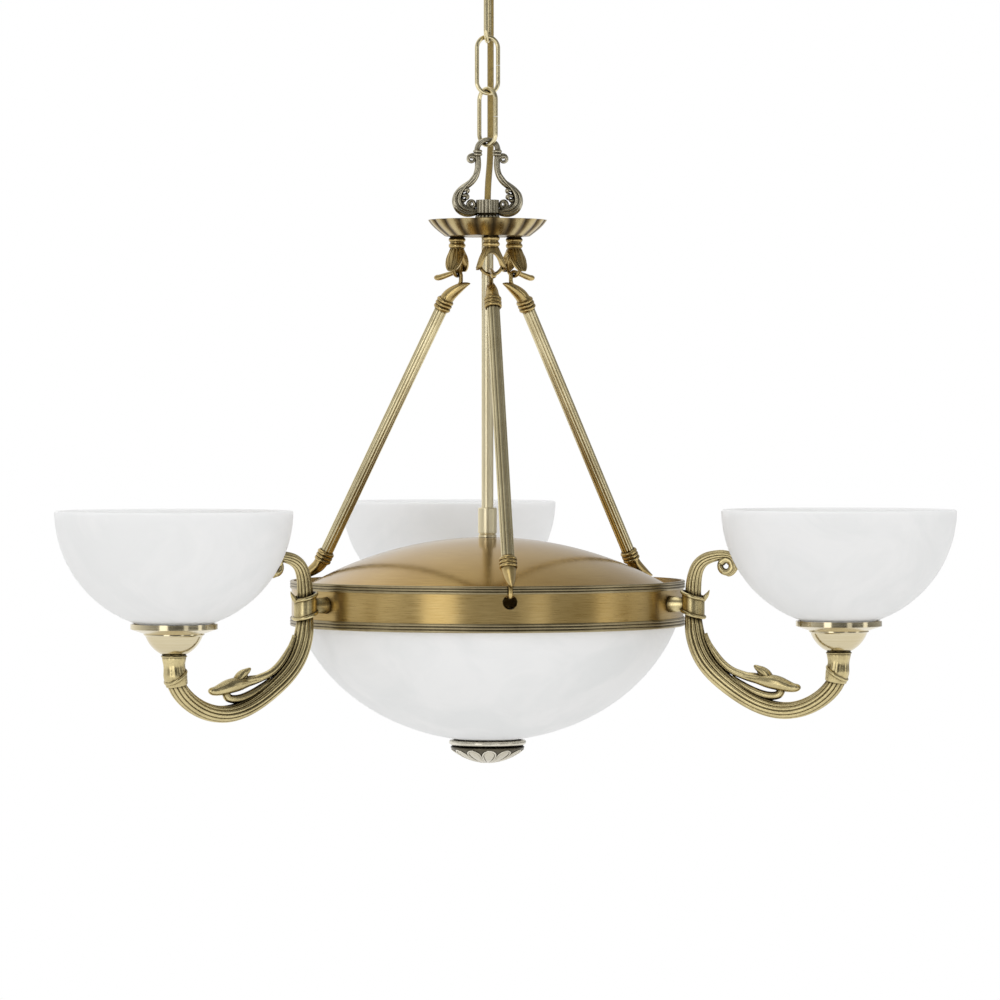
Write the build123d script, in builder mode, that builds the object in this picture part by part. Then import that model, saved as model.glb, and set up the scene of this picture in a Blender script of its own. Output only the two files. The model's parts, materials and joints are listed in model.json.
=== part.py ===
from build123d import *
import os
from math import atan2, cos, degrees, hypot, pi, radians, sin, sqrt, tan

os.makedirs("parts", exist_ok=True)

# A brass pendant light on a chain. Millimetres and degrees. +Z is up, and the origin is the middle of
# the two ceiling screws, on the ceiling. The camera side is -Y. Everything hangs below the ceiling, so
# the levels are worked out from the ceiling downwards.

# Fits that many pieces share
wire_gap = 0.2
lyre_gap = 0.5
slip = 0.25
seat = 0.05

# Ceiling fitting
bracket_length = 92.0
bracket_width = 20.0
bracket_thickness = 2.0
bracket_tab = 22.0
bracket_step = 12.0
screw_spacing = 70.0
screw_slot = 9.0
screw_hole_radius = 2.3
canopy_radius = 58.0
canopy_lip = 4.0
canopy_depth = 42.0
canopy_base_radius = 22.0
canopy_wall = 1.2
shank_radius = 5.0
loop_flange_radius = 8.0
loop_flange = 3.0
loop_neck = 3.0
loop_radius = 8.5
loop_wire = 4.2
loop_turn = -15.0
locknut_across = 17.0
locknut_height = 5.0
bush_radius = 4.8
bush_flange = 1.5
terminal_length = 24.0
terminal_width = 15.0
terminal_height = 11.0

# Chain: every link is turned about the vertical against the one above it
link_length = 48.4
link_width = 21.5
link_wire = 3.4
link_split = 0.4
link_turns = (75.0, 15.0, -50.0)

# Lyre loop and its hub
lyre_wire = 4.0
lyre_half_width = 25.5
lyre_drop = 58.4
lyre_collar_radius = 3.7
lyre_collar_bead = 1.3
scroll_wire = 1.6
hub_radius = 9.2
hub_drop = 48.0
hub_barrel = 10.4
hub_flute_depth = 0.7
hub_waist_radius = 7.4
hub_waist = 4.4
hub_foot_radius = 8.6
hub_height = 27.4
hub_flutes = 16

# Dish and the three hangers under it
dish_radius = 47.6
dish_base_radius = 34.0
dish_depth = 13.0
dish_wall = 1.6
dish_flutes = 20
flute_depth = 1.7
base_flute = 0.2
nipple_reach = 20.0
hanger_circle = 26.6
hanger_collar_radius = 6.8
hanger_collar = 9.4
hanger_bead = 2.1
hanger_stud_radius = 2.0
hanger_nut_across = 7.0
hanger_nut_height = 3.0
tulip_length = 18.4
tulip_radius = 12.2
tulip_wall = 1.9
eye_radius = 9.2
eye_wire = 2.9
eye_drop = 22.2

# Rods with a hook casting at both ends
rod_radius = 5.25
rod_reeds = 10
reed_depth = 0.55
hook_wire = 3.3
hook_leg = 5.5
hook_bend = 5.0
hook_lean = 16.0
top_tongue = 16.0
bottom_tongue = 3.0
collar_radius = 6.4
collar_length = 10.0
collar_bead = 1.8
collar_from_end = 25.6
beak_reach = 12.0
beak_radius = 4.6

# Stem, sleeve and dome
stem_length = 240.4
stem_radius = 4.75
stem_bore = 3.3
sleeve_radius = 7.5
sleeve_height = 23.4
sleeve_seat = 6.0
dome_sphere = 290.0
dome_rise = 34.4
dome_radius = 150.0
dome_wall = 1.2

# Ring
ring_radius = 156.7
ring_wall = 1.5
ring_height = 36.0
ring_flange = 7.0
trim_proud = 1.2
upper_trim_height = 6.2
lower_trim_height = 7.0
trim_ribs = 3
rod_hole_radius = 5.7
rod_hole_gap = 0.4
spider_drop = 22.0
spider_thickness = 2.0
spider_width = 14.0
spider_hub_radius = 16.0
spider_tab = 14.0

# Glass bowl, finial and what carries them
bowl_half_width = 159.0
bowl_half_height = 134.4
bowl_centre_rise = 5.6
bowl_wall = 3.8
bowl_hole_radius = 6.0
centre_rod_radius = 3.0
nut_across = 10.0
nut_height = 5.0
felt_radius = 22.0
felt_thickness = 1.0
finial_radius = 30.8
finial_plate = 3.0
rosette_radius = 28.4
rosette_height = 13.0
rosette_petals = 12
petal_depth = 2.2

# Arms, clasps, cups and shades
arm_reach = 298.0
arm_line = 176.6
arm_drop = 98.7
arm_end_drop = 51.4
arm_radius = 7.2
arm_neck_radius = 6.3
arm_reeds = 12
arm_reed_depth = 0.13
volute_reach = 204.4
volute_rise = 13.8
volute_radius = 9.5
volute_eye = 2.4
volute_turn = 430.0
sprig_wire = 2.0
calyx_radius = 9.3
calyx_length = 24.0
calyx_slant = 36.0
calyx_roll = 1.5
calyx_edge_drop = 17.3
calyx_edge_shift = 1.4
spigot_drop = 17.0
spigot_radius = 6.7
clasp_height = 14.5
clasp_slant = 18.0
clasp_roll = 1.4
clasp_wall = 2.2
thorn_radius = 2.4
arm_stud_radius = 2.5
arm_stud = 10.0
arm_nut_across = 8.0
arm_nut_height = 3.5
cup_radius = 33.4
cup_lip = 4.0
cup_step_radius = 23.3
cup_neck_radius = 9.6
cup_height = 23.4
cup_wall = 1.5
shade_radius = 91.4
shade_wall = 3.5
shade_seat_radius = 28.6
shade_rim_drop = 2.0
shade_hole_radius = 14.5
holder_radius = 13.5
holder_length = 36.0
holder_tail_radius = 4.9
holder_tail = 30.0
shade_ring_radius = 21.0
shade_ring_height = 5.0
socket_radius = 7.2
socket_depth = 24.0
bulb_radius = 22.5
bulb_length = 47.0
bulb_base_radius = 6.9
bulb_base = 22.0
bulb_neck_radius = 9.5
bulb_shoulder_radius = 12.5
bowl_lamp_circle = 55.0
bowl_holder_length = 28.0

# Power cord
cord_radius = 2.6
cord_side = 4.0
cord_back = 13.6
cord_entry = 8.0
cord_bend_height = 36.0
cord_enter_height = 8.0

# Directions of what repeats round the axis
arm_angles = {"rear": 90.0, "left": 210.0, "right": 330.0}
rod_angles = {"front": 270.0, "right": 30.0, "left": 150.0}

# Levels, from the ceiling down
loop_z = -(canopy_depth + loop_flange + loop_neck + loop_radius)
link_span = link_length - link_wire
link_pitch = link_span - link_wire - wire_gap
first_link_top = loop_z - loop_radius + (loop_wire + link_wire) / 2 + wire_gap
link_tops = [first_link_top - number * link_pitch for number in range(len(link_turns))]
lyre_top = link_tops[-1] - link_span + (link_wire + lyre_wire) / 2 + lyre_gap
hub_top = lyre_top - hub_drop
dish_floor = hub_top - hub_height
dish_base = dish_floor - dish_wall
sleeve_base = dish_base - stem_length
dome_apex = sleeve_base - seat
ring_top = dome_apex - dome_rise
ring_base = ring_top - ring_height
spider_top = ring_top - spider_drop
bowl_centre = ring_top + bowl_centre_rise
spigot_z = ring_top - spigot_drop
arm_end = ring_top - arm_end_drop
cup_rim = arm_end + cup_height
shade_centre = cup_rim + sqrt(shade_radius**2 - shade_seat_radius**2)
holder_base = shade_centre - shade_radius - slip
rod_hole_z = ring_top - upper_trim_height - rod_hole_gap - rod_hole_radius


# What repeats

def polar(radius, angle):
    """Point at a radius and an angle in degrees."""
    return (radius * cos(radians(angle)), radius * sin(radians(angle)))


def scalloped(radius, depth, count):
    """Face with round lobes side by side, like a bundle of reeds."""
    step = 360 / count
    with BuildSketch() as outline:
        with BuildLine():
            for lobe in range(count):
                start = polar(radius - depth, lobe * step)
                crest = polar(radius, (lobe + 0.5) * step)
                end = polar(radius - depth, (lobe + 1) * step)
                ThreePointArc(start, crest, end)
        make_face()
    return outline.sketch


def blend(values, fraction):
    """Value at a fraction along a list of evenly spaced values."""
    place = min(max(fraction, 0.0), 1.0) * (len(values) - 1)
    low = min(int(place), len(values) - 2)
    return values[low] + (values[low + 1] - values[low]) * (place - low)


def limb(points, radii, sections, flat=0.0, ribs=4, rib_depth=0.0, tangents=None):
    """Bar along a smooth curve in a radial plane, thick and thin as the radii say, oval or ribbed."""
    with BuildLine() as route:
        Spline(*[(x, 0, z) for x, z in points], tangents=tangents)
    line = route.edges()[0]
    with BuildPart() as bar:
        for section in range(sections):
            fraction = section / (sections - 1)
            radius = blend(radii, fraction)
            with BuildSketch(Plane(line @ fraction, x_dir=(0, 1, 0), z_dir=line % fraction)):
                if flat:
                    Ellipse(radius * flat, radius)
                else:
                    add(scalloped(radius, rib_depth * radius, ribs))
        loft()
    return bar.part


def hex_nut(plane, across, height, bore):
    """Hexagon nut that stands on a plane."""
    with BuildPart() as nut:
        with BuildSketch(plane):
            RegularPolygon(across / 2, 6, major_radius=False)
            Circle(bore, mode=Mode.SUBTRACT)
        extrude(amount=height)
    return nut.part


def save(solid, name):
    """Name a finished piece and write it."""
    solid.label = name
    export_step(solid, f"parts/{name}.step")


def save_round(solid, name, angles):
    """Write one copy of a piece for each direction round the axis."""
    for place, angle in angles.items():
        save(solid.rotate(Axis.Z, angle), f"{name}_{place}")


def save_group(solid, name, angles):
    """Write the copies of a piece round the axis as one group."""
    save(Compound(children=[solid.rotate(Axis.Z, angle) for angle in angles.values()]), name)


# Ceiling bracket: a strap with stepped ends, slots for the ceiling screws and a hole for the shank
half_bracket = bracket_length / 2
step_start = half_bracket - bracket_tab
step_end = step_start - bracket_step / 2
with BuildPart() as ceiling_bracket:
    with BuildSketch(Plane.XZ):
        with BuildLine():
            upper = [(half_bracket, 0), (step_start, 0), (step_end, -bracket_step)]
            lower = [(x, z - bracket_thickness) for x, z in upper]
            right = lower[::-1] + upper
            left = [(-x, z) for x, z in upper][::-1] + [(-x, z) for x, z in lower]
            Polyline(*right, *left, close=True)
        make_face()
    extrude(amount=bracket_width / 2, both=True)
    with BuildSketch(Plane.XY):
        with GridLocations(screw_spacing, 0, 2, 1):
            SlotOverall(screw_slot, 2 * screw_hole_radius)
        Circle(shank_radius + slip)
    extrude(amount=-bracket_step - bracket_thickness, mode=Mode.SUBTRACT)
save(ceiling_bracket.part, "ceiling_bracket")

# Canopy: a spun cup that hides the bracket
with BuildPart() as canopy:
    with BuildSketch(Plane.XZ):
        with BuildLine():
            Line((0, 0), (canopy_radius, 0))
            lip = Line((canopy_radius, 0), (canopy_radius, -canopy_lip))
            shoulder = TangentArc(lip @ 1, (canopy_base_radius, -canopy_depth), tangent=lip % 1)
            Line(shoulder @ 1, (0, -canopy_depth))
            Line((0, -canopy_depth), (0, 0))
        make_face()
    revolve(axis=Axis.Z)
    offset(amount=-canopy_wall, openings=canopy.faces().sort_by(Axis.Z)[-1])
    with BuildSketch(Plane.XY.offset(-canopy_depth)):
        Circle(shank_radius + slip)
        with Locations((cord_side, cord_back)):
            Circle(bush_radius - bush_flange + slip)
    extrude(amount=canopy_wall, mode=Mode.SUBTRACT)
save(canopy.part, "canopy")

# Canopy loop: a ring on a threaded shank that goes up through canopy and bracket
shank_top = -bracket_step + locknut_height + 1
with BuildPart() as canopy_loop:
    with Locations(Location((0, 0, loop_z), (0, 0, loop_turn))):
        Torus(loop_radius, loop_wire / 2, rotation=(90, 0, 0))
    with BuildSketch(Plane.XY.offset(loop_z + loop_radius)):
        Circle(loop_wire / 2 + 1)
    extrude(amount=loop_neck)
    with BuildSketch(Plane.XY.offset(-canopy_depth - loop_flange)):
        Circle(loop_flange_radius)
    extrude(amount=loop_flange - seat)
    with BuildSketch(Plane.XY.offset(-canopy_depth - loop_flange / 2)):
        Circle(shank_radius)
    extrude(amount=shank_top + canopy_depth + loop_flange / 2)
save(canopy_loop.part, "canopy_loop")

locknut_plane = Plane.XY.offset(-bracket_step + seat)
save(hex_nut(locknut_plane, locknut_across, locknut_height, shank_radius + seat), "canopy_locknut")

# Cord bush: a grommet in the canopy's base
with BuildPart() as cord_bush:
    with Locations((cord_side, cord_back, -canopy_depth + canopy_wall / 2)):
        Cylinder(bush_radius, canopy_wall + 2 * bush_flange)
        Cylinder(bush_radius + 1, canopy_wall, mode=Mode.SUBTRACT)
        Cylinder(bush_radius - bush_flange, canopy_wall + 2 * bush_flange)
        Cylinder(cord_radius + seat, canopy_wall + 2 * bush_flange, mode=Mode.SUBTRACT)
save(cord_bush.part, "cord_bush")

# Terminal block: under the bracket, with two rows of wire entries
terminal_x = -(shank_radius + locknut_across / 4 + terminal_length / 2)
terminal_z = -bracket_step - bracket_thickness - seat - terminal_height / 2
with BuildPart() as terminal_block:
    with Locations((terminal_x, 0, terminal_z)):
        Box(terminal_length, terminal_width, terminal_height)
        with GridLocations(terminal_length / 3, 0, 3, 1):
            Cylinder(terminal_height / 5, terminal_width, rotation=(90, 0, 0), mode=Mode.SUBTRACT)
save(terminal_block.part, "terminal_block")

# Chain links: bent wire with a split in one leg
link_bend = (link_width - link_wire) / 2
link_leg = link_span / 2 - link_bend
for number, (top, turn) in enumerate(zip(link_tops, link_turns), start=1):
    across = (cos(radians(turn)), sin(radians(turn)), 0)
    facing = (sin(radians(turn)), -cos(radians(turn)), 0)
    with BuildPart() as chain_link:
        with BuildLine(Plane((0, 0, top - link_span / 2), x_dir=across, z_dir=facing)) as wire:
            Line((link_bend, -link_split / 2), (link_bend, -link_leg))
            ThreePointArc((link_bend, -link_leg), (0, -link_leg - link_bend), (-link_bend, -link_leg))
            Line((-link_bend, -link_leg), (-link_bend, link_leg))
            ThreePointArc((-link_bend, link_leg), (0, link_leg + link_bend), (link_bend, link_leg))
            Line((link_bend, link_leg), (link_bend, link_split / 2))
        with BuildSketch(Plane(wire.line @ 0, z_dir=wire.line % 0)):
            Circle(link_wire / 2)
        sweep()
    save(chain_link.part, f"chain_link_{number}")

# Power cord: straight behind the chain, then a gentle bend forward into the hub
cord_points = [
    (cord_side, cord_back, -canopy_depth + cord_entry),
    (cord_side, cord_back, hub_top + cord_bend_height),
    (0, 0, hub_top + cord_enter_height),
    (0, 0, hub_top - cord_enter_height),
]
cord_slant = hypot(hypot(cord_side, cord_back), cord_bend_height - cord_enter_height)
cord_turn = atan2(hypot(cord_side, cord_back), cord_bend_height - cord_enter_height)
cord_radii = [0.45 * run / tan(cord_turn / 2) for run in (cord_slant, 2 * cord_enter_height)]
with BuildPart() as power_cord:
    with BuildLine() as cord_route:
        FilletPolyline(*cord_points, radius=cord_radii)
    with BuildSketch(Plane(cord_route.wire() @ 0, z_dir=cord_route.wire() % 0)):
        Circle(cord_radius)
    sweep()
cord_length = cord_route.wire().length
print("cord bends", [round(radius, 1) for radius in cord_radii], "length", round(cord_length, 1))
print("cord volume ratio", round(power_cord.part.volume / (pi * cord_radius**2 * cord_length), 4))
save(power_cord.part, "power_cord")

# Lyre loop: a cast loop of two mirrored limbs that rise from a fluted hub
lyre_outline = [
    (0, 0),
    (0.3 * lyre_half_width, 0.085 * lyre_drop),
    (0.32 * lyre_half_width, 0.2 * lyre_drop),
    (0.3 * lyre_half_width, 0.36 * lyre_drop),
    (0.46 * lyre_half_width, 0.555 * lyre_drop),
    (0.84 * lyre_half_width, 0.69 * lyre_drop),
    (lyre_half_width, 0.85 * lyre_drop),
    (0.8 * lyre_half_width, 0.985 * lyre_drop),
    (0.5 * lyre_half_width, lyre_drop),
    (0.2 * lyre_half_width, 0.95 * lyre_drop),
]
lyre_radii = [lyre_wire / 2, 2.2, 2.5, 2.5, 2.7, 3.0, 3.1, 3.0, 2.6]
right_points = [(x, lyre_top - drop) for x, drop in lyre_outline]
left_points = [(-x, z) for x, z in right_points[:0:-1]]
lyre_bar = limb(left_points + right_points, lyre_radii[:0:-1] + lyre_radii, 41, ribs=6, rib_depth=0.12)

# Small scroll that leaves the neck under each collar, the scroll beside the hub, and leaf lobes above it
neck_x = 0.31 * lyre_half_width
neck_z = lyre_top - 0.2 * lyre_drop
outer_outline = [(0.5, -5), (3, -1.5), (7, -2.2), (7, -5.2), (4.6, -5)]
outer_scroll = limb(
    [(neck_x + side, neck_z + rise) for side, rise in outer_outline],
    [scroll_wire * share for share in (0.94, 1, 0.94, 0.88, 0.62)],
    7,
)
scroll_x = 0.5 * lyre_half_width
scroll_z = lyre_top - 0.96 * lyre_drop
inner_outline = [(8, 9.5), (5.5, 2.5), (0, 0.6), (-2.5, 4.4), (-0.6, 7), (1.6, 5)]
inner_scroll = limb(
    [(scroll_x + side, scroll_z + rise) for side, rise in inner_outline],
    [scroll_wire * share for share in (0.62, 1, 1.06, 0.94, 0.82, 0.56)],
    9,
)
leaf_outline = [(-3.2, 1.2), (-6.6, -0.6), (-8.4, 1.4)]
leaf_lobes = [
    limb(
        [(lyre_half_width + side, lyre_top - share * lyre_drop + rise) for side, rise in leaf_outline],
        [scroll_wire * thickness for thickness in (1.1, 1.2, 0.4)],
        5,
    )
    for share in (0.68, 0.75, 0.82)
]
with BuildPart() as lyre_loop:
    with BuildSketch(Plane.XY.offset(hub_top - hub_barrel)):
        add(scalloped(hub_radius, hub_flute_depth, hub_flutes))
    extrude(amount=hub_barrel)
    with BuildSketch(Plane.XZ):
        with BuildLine():
            waist = ThreePointArc(
                (hub_radius - 1, hub_top - hub_barrel),
                (hub_waist_radius, hub_top - hub_barrel - 0.55 * hub_waist),
                (hub_foot_radius, hub_top - hub_barrel - hub_waist),
            )
            Polyline(waist @ 1, (hub_foot_radius, dish_floor + seat), (0, dish_floor + seat),
                     (0, hub_top - hub_barrel), waist @ 0)
        make_face()
    revolve(axis=Axis.Z)
    add(lyre_bar)
    for scroll in (outer_scroll, inner_scroll, *leaf_lobes):
        add(scroll)
        add(scroll.mirror(Plane.YZ))
    for sign in (1, -1):
        for rise in (0, lyre_collar_bead * 1.85):
            with Locations((sign * neck_x, 0, neck_z + rise)):
                Torus(lyre_collar_radius - lyre_collar_bead, lyre_collar_bead)
    with Locations((0, 0, hub_top)):
        Cylinder(cord_radius + slip, 2 * (cord_enter_height + 2), mode=Mode.SUBTRACT)
    with BuildSketch(Plane.XY.offset(dish_floor)):
        Circle(stem_bore)
    extrude(amount=hub_height / 2, mode=Mode.SUBTRACT)
save(lyre_loop.part, "lyre_loop")

# Dish: a shallow bowl with gadroons, flat where the hangers sit
dish_steps = [(0.0, 0.0), (0.38, 0.3), (0.74, 0.64), (1.0, 1.0)]
with BuildPart() as dish:
    for skin, mode in ((0, Mode.ADD), (dish_wall, Mode.SUBTRACT)):
        for outward, upward in dish_steps:
            reach = dish_base_radius + outward * (dish_radius - dish_base_radius) - skin
            level = dish_base + skin + upward * dish_depth
            with BuildSketch(Plane.XY.offset(level)):
                add(scalloped(reach, base_flute + outward * (flute_depth - base_flute), dish_flutes))
        loft(mode=mode)
    with BuildSketch(Plane.XY.offset(dish_base)):
        Circle(stem_bore + slip)
        with PolarLocations(hanger_circle, len(rod_angles), start_angle=rod_angles["right"]):
            Circle(hanger_stud_radius + slip)
    extrude(amount=dish_wall, mode=Mode.SUBTRACT)
save(dish.part, "dish")

# Nipple: a hollow threaded tube that joins hub, dish and stem
nipple_top = dish_floor + hub_height / 2 - 1
nipple_length = hub_height / 2 + dish_wall + nipple_reach
with BuildPart() as crown_nipple:
    with BuildSketch(Plane.XY.offset(nipple_top - nipple_length)):
        Circle(stem_bore - seat)
        Circle(stem_bore - 1, mode=Mode.SUBTRACT)
    extrude(amount=nipple_length)
save(crown_nipple.part, "crown_nipple")

# Hanger: a beaded collar, a tulip of two petals and an eye between them
collar_base = dish_base - seat - hanger_collar
tulip_base = collar_base - tulip_length
eye_z = dish_base - eye_drop
bar_z = eye_z - eye_radius
hanger_axis = Axis((hanger_circle, 0, 0), (0, 0, 1))
with BuildPart() as hanger:
    with BuildSketch(Plane.XZ):
        with BuildLine():
            outside = Spline(
                (hanger_circle + 5, collar_base + 0.5),
                (hanger_circle + 0.78 * tulip_radius, tulip_base + 0.5 * tulip_length),
                (hanger_circle + tulip_radius, tulip_base),
            )
            inside = Spline(
                (hanger_circle + tulip_radius - tulip_wall, tulip_base),
                (hanger_circle + 0.78 * tulip_radius - tulip_wall, tulip_base + 0.46 * tulip_length),
                (hanger_circle + 2.2, collar_base - 1.5),
            )
            Line(outside @ 1, inside @ 0)
            tulip_floor = (hanger_circle, collar_base - 1.5)
            Polyline(inside @ 1, tulip_floor, (hanger_circle, collar_base + 0.5), outside @ 0)
        make_face()
    revolve(axis=hanger_axis)
    with BuildSketch(Plane.YZ):
        with Locations((0, tulip_base - 1)):
            Ellipse(eye_radius - eye_wire / 2, 0.8 * tulip_length)
    extrude(amount=2 * hanger_circle, mode=Mode.SUBTRACT)
    with BuildSketch(Plane.XZ):
        with Locations((hanger_circle, tulip_base + 0.62 * tulip_length)):
            Ellipse(0.6 * tulip_radius, 0.66 * tulip_length)
    extrude(amount=2 * tulip_radius, both=True, mode=Mode.INTERSECT)
    with Locations((hanger_circle, 0, eye_z)):
        Torus(eye_radius, eye_wire / 2, rotation=(0, 90, 0))
    with Locations((hanger_circle, 0, collar_base + hanger_collar / 2)):
        Cylinder(hanger_collar_radius - 1, hanger_collar)
    for share in (0.24, 0.74):
        with Locations((hanger_circle, 0, collar_base + share * hanger_collar)):
            Torus(hanger_collar_radius - hanger_bead, hanger_bead)
    with Locations((hanger_circle, 0, dish_base - 1)):
        Cylinder(hanger_stud_radius, dish_wall + 8, align=(Align.CENTER, Align.CENTER, Align.MIN))
save_round(hanger.part, "hanger", rod_angles)

hanger_nut_plane = Plane((hanger_circle, 0, dish_floor + seat))
hanger_nut = hex_nut(hanger_nut_plane, hanger_nut_across, hanger_nut_height, hanger_stud_radius + seat)
save_group(hanger_nut, "hanger_nuts", rod_angles)

# Rods: each hangs on an eye of the dish and holds the ring through a hole in its band
hook_radius = (hook_wire + eye_wire) / 2 + slip
hook_in_hole = rod_hole_z + rod_hole_radius - hook_wire / 2 - 2 * slip
top_point = Vector(hanger_circle, 0, bar_z)
hook_outside = ring_radius + trim_proud + slip + hook_wire / 2
low_point = Vector(hook_outside - hook_radius, 0, hook_in_hole + hook_radius)
rod_line = low_point - top_point
along = rod_line.normalized()
inward = Vector(along.Z, 0, -along.X)
rod_middle = top_point + rod_line * 0.5
rod_start = collar_from_end + collar_length / 2
rod_length = rod_line.length - 2 * rod_start
with BuildPart() as rod:
    with BuildSketch(Plane(top_point + along * rod_start, x_dir=(0, 1, 0), z_dir=along)):
        add(scalloped(rod_radius, reed_depth, rod_reeds))
    extrude(amount=rod_length)
save_round(rod.part, "rod", rod_angles)


def hook_casting(tongue):
    """Beaded collar, scooped beak and open hook at the top end of a rod."""
    collar_middle = top_point + along * collar_from_end
    leg_top = top_point + Vector(-hook_radius, 0, 0)
    leg_foot = leg_top - Vector(0, 0, hook_leg)
    lean = radians(90 - hook_lean)
    tongue_root = top_point + Vector(cos(lean), 0, sin(lean)) * hook_radius
    tongue_line = Vector(cos(radians(hook_lean)), 0, -sin(radians(hook_lean)))
    crest = top_point + Vector(-sin(radians(hook_lean)), 0, cos(radians(hook_lean))) * hook_radius
    with BuildLine() as bend:
        FilletPolyline(collar_middle, leg_foot, leg_top, radius=hook_bend)
        ThreePointArc(leg_top, crest, tongue_root)
        Line(tongue_root, tongue_root + tongue_line * tongue)
    beak_line = [(21.0, 0.0), (14.0, 0.2), (7.0, 0.58), (1.0, 1.0)]
    beak_points = [top_point + along * run + inward * (share * beak_reach) for run, share in beak_line]
    beak_radii = [beak_radius * share for share in (1, 0.65, 0.43, 0.15)]
    beak = limb([(point.X, point.Z) for point in beak_points], beak_radii, 9, flat=1.35)
    with BuildPart() as casting:
        with BuildSketch(Plane(bend.wire() @ 0, z_dir=bend.wire() % 0)):
            Circle(hook_wire / 2)
        sweep(path=bend.wire())
        add(beak)
        with Locations(Plane(collar_middle, x_dir=(0, 1, 0), z_dir=along)):
            Cylinder(collar_radius - collar_bead / 3, collar_length)
            for share in (-0.3, 0, 0.3):
                with Locations((0, 0, share * collar_length)):
                    Torus(collar_radius - 2 * collar_bead / 3, collar_bead)
    return casting.part


save_round(hook_casting(top_tongue), "rod_top_hook", rod_angles)
low_hook = hook_casting(bottom_tongue).rotate(Axis(rod_middle, (0, 1, 0)), 180)
save_round(low_hook, "rod_bottom_hook", rod_angles)

# Stem tube and the turned sleeve at its foot
sleeve_top = sleeve_base + sleeve_height
sleeve_floor = sleeve_base + sleeve_seat
with BuildPart() as stem_tube:
    with BuildSketch(Plane.XY.offset(sleeve_floor)):
        Circle(stem_radius)
        Circle(stem_bore, mode=Mode.SUBTRACT)
    extrude(amount=dish_base - seat - sleeve_floor)
save(stem_tube.part, "stem_tube")

with BuildPart() as stem_sleeve:
    with BuildSketch(Plane.XZ):
        with BuildLine():
            Polyline(
                (centre_rod_radius + seat, sleeve_base),
                (sleeve_radius - 0.2, sleeve_base),
                (sleeve_radius - 0.2, sleeve_base + 1.6),
                (sleeve_radius - 1, sleeve_base + 2.2),
                (sleeve_radius - 1, sleeve_base + 2.8),
                (sleeve_radius, sleeve_base + 3.4),
                (sleeve_radius, sleeve_top - 0.8),
                (sleeve_radius - 0.8, sleeve_top),
                (stem_radius + seat, sleeve_top),
                (stem_radius + seat, sleeve_floor),
                (centre_rod_radius + seat, sleeve_floor),
                close=True,
            )
        make_face()
    revolve(axis=Axis.Z)
save(stem_sleeve.part, "stem_sleeve")

# Dome: a shallow spun cap held at its middle between the sleeve and a nut
dome_centre = dome_apex - dome_sphere


def dome_point(radius, skin):
    """Point of the dome at a radius from the axis, a skin under its outside."""
    return (radius, dome_centre + sqrt((dome_sphere - skin) ** 2 - radius**2))


with BuildPart() as dome:
    with BuildSketch(Plane.XZ):
        with BuildLine():
            hole = centre_rod_radius + slip
            over = ThreePointArc(
                dome_point(hole, 0),
                dome_point(dome_radius / 2, 0),
                dome_point(dome_radius, 0),
            )
            under = ThreePointArc(
                dome_point(dome_radius, dome_wall),
                dome_point(dome_radius / 2, dome_wall),
                dome_point(hole, dome_wall),
            )
            Line(over @ 1, under @ 0)
            Line(under @ 1, over @ 0)
        make_face()
    revolve(axis=Axis.Z)
save(dome.part, "dome")

# Ring band: rolled strip with a turned-in foot for the glass, holes for the rods and the arm studs
ring_bore = ring_radius - ring_wall
with BuildPart() as ring_band:
    with BuildSketch(Plane.XZ):
        with BuildLine():
            Polyline(
                (ring_bore, ring_top),
                (ring_radius, ring_top),
                (ring_radius, ring_base),
                (ring_bore - ring_flange, ring_base),
                (ring_bore - ring_flange, ring_base + ring_wall),
                (ring_bore, ring_base + ring_wall),
                close=True,
            )
        make_face()
    revolve(axis=Axis.Z)
    for angles, z, radius in (
        (rod_angles, rod_hole_z, rod_hole_radius),
        (arm_angles, spigot_z, arm_stud_radius + slip),
    ):
        for angle in angles.values():
            outward = (*polar(1, angle), 0)
            with BuildSketch(Plane((*polar(ring_bore - 2, angle), z), z_dir=outward)):
                Circle(radius)
            extrude(amount=ring_wall + 4, mode=Mode.SUBTRACT)
save(ring_band.part, "ring_band")


def ribbed_trim(top, height):
    """Trim strip round the band with rounded ribs."""
    inner = ring_radius + seat
    rib = height / trim_ribs
    with BuildPart() as trim:
        with BuildSketch(Plane.XZ):
            with BuildLine():
                Polyline((inner + trim_proud - rib / 4, top), (inner, top), (inner, top - height),
                         (inner + trim_proud - rib / 4, top - height))
                for number in range(trim_ribs):
                    low = top - height + number * rib
                    ThreePointArc(
                        (inner + trim_proud - rib / 4, low),
                        (inner + trim_proud, low + rib / 2),
                        (inner + trim_proud - rib / 4, low + rib),
                    )
            make_face()
        revolve(axis=Axis.Z)
    return trim.part


save(ribbed_trim(ring_top, upper_trim_height), "upper_trim")
save(ribbed_trim(ring_base + lower_trim_height, lower_trim_height), "lower_trim")

# Spider: three legs inside the ring that the arm studs hold, with the centre rod through its hub
tab_face = sqrt(ring_bore**2 - (spider_width / 2) ** 2) - slip
with BuildPart() as spider:
    with BuildSketch(Plane.XY.offset(spider_top - spider_thickness)):
        Circle(spider_hub_radius)
        with PolarLocations(tab_face / 2, len(arm_angles), start_angle=arm_angles["rear"]):
            Rectangle(tab_face, spider_width)
        Circle(centre_rod_radius + seat, mode=Mode.SUBTRACT)
    extrude(amount=spider_thickness)
    with BuildSketch(Plane.XY.offset(spider_top)):
        tab_middle = tab_face - spider_thickness / 2
        with PolarLocations(tab_middle, len(arm_angles), start_angle=arm_angles["rear"]):
            Rectangle(spider_thickness, spider_width)
    extrude(amount=spider_tab - spider_thickness)
    for angle in arm_angles.values():
        with BuildSketch(Plane((*polar(tab_face, angle), spigot_z), z_dir=(*polar(1, angle), 0))):
            Circle(arm_stud_radius + slip)
        extrude(amount=-2 * spider_thickness, mode=Mode.SUBTRACT)
save(spider.part, "spider")

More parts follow.
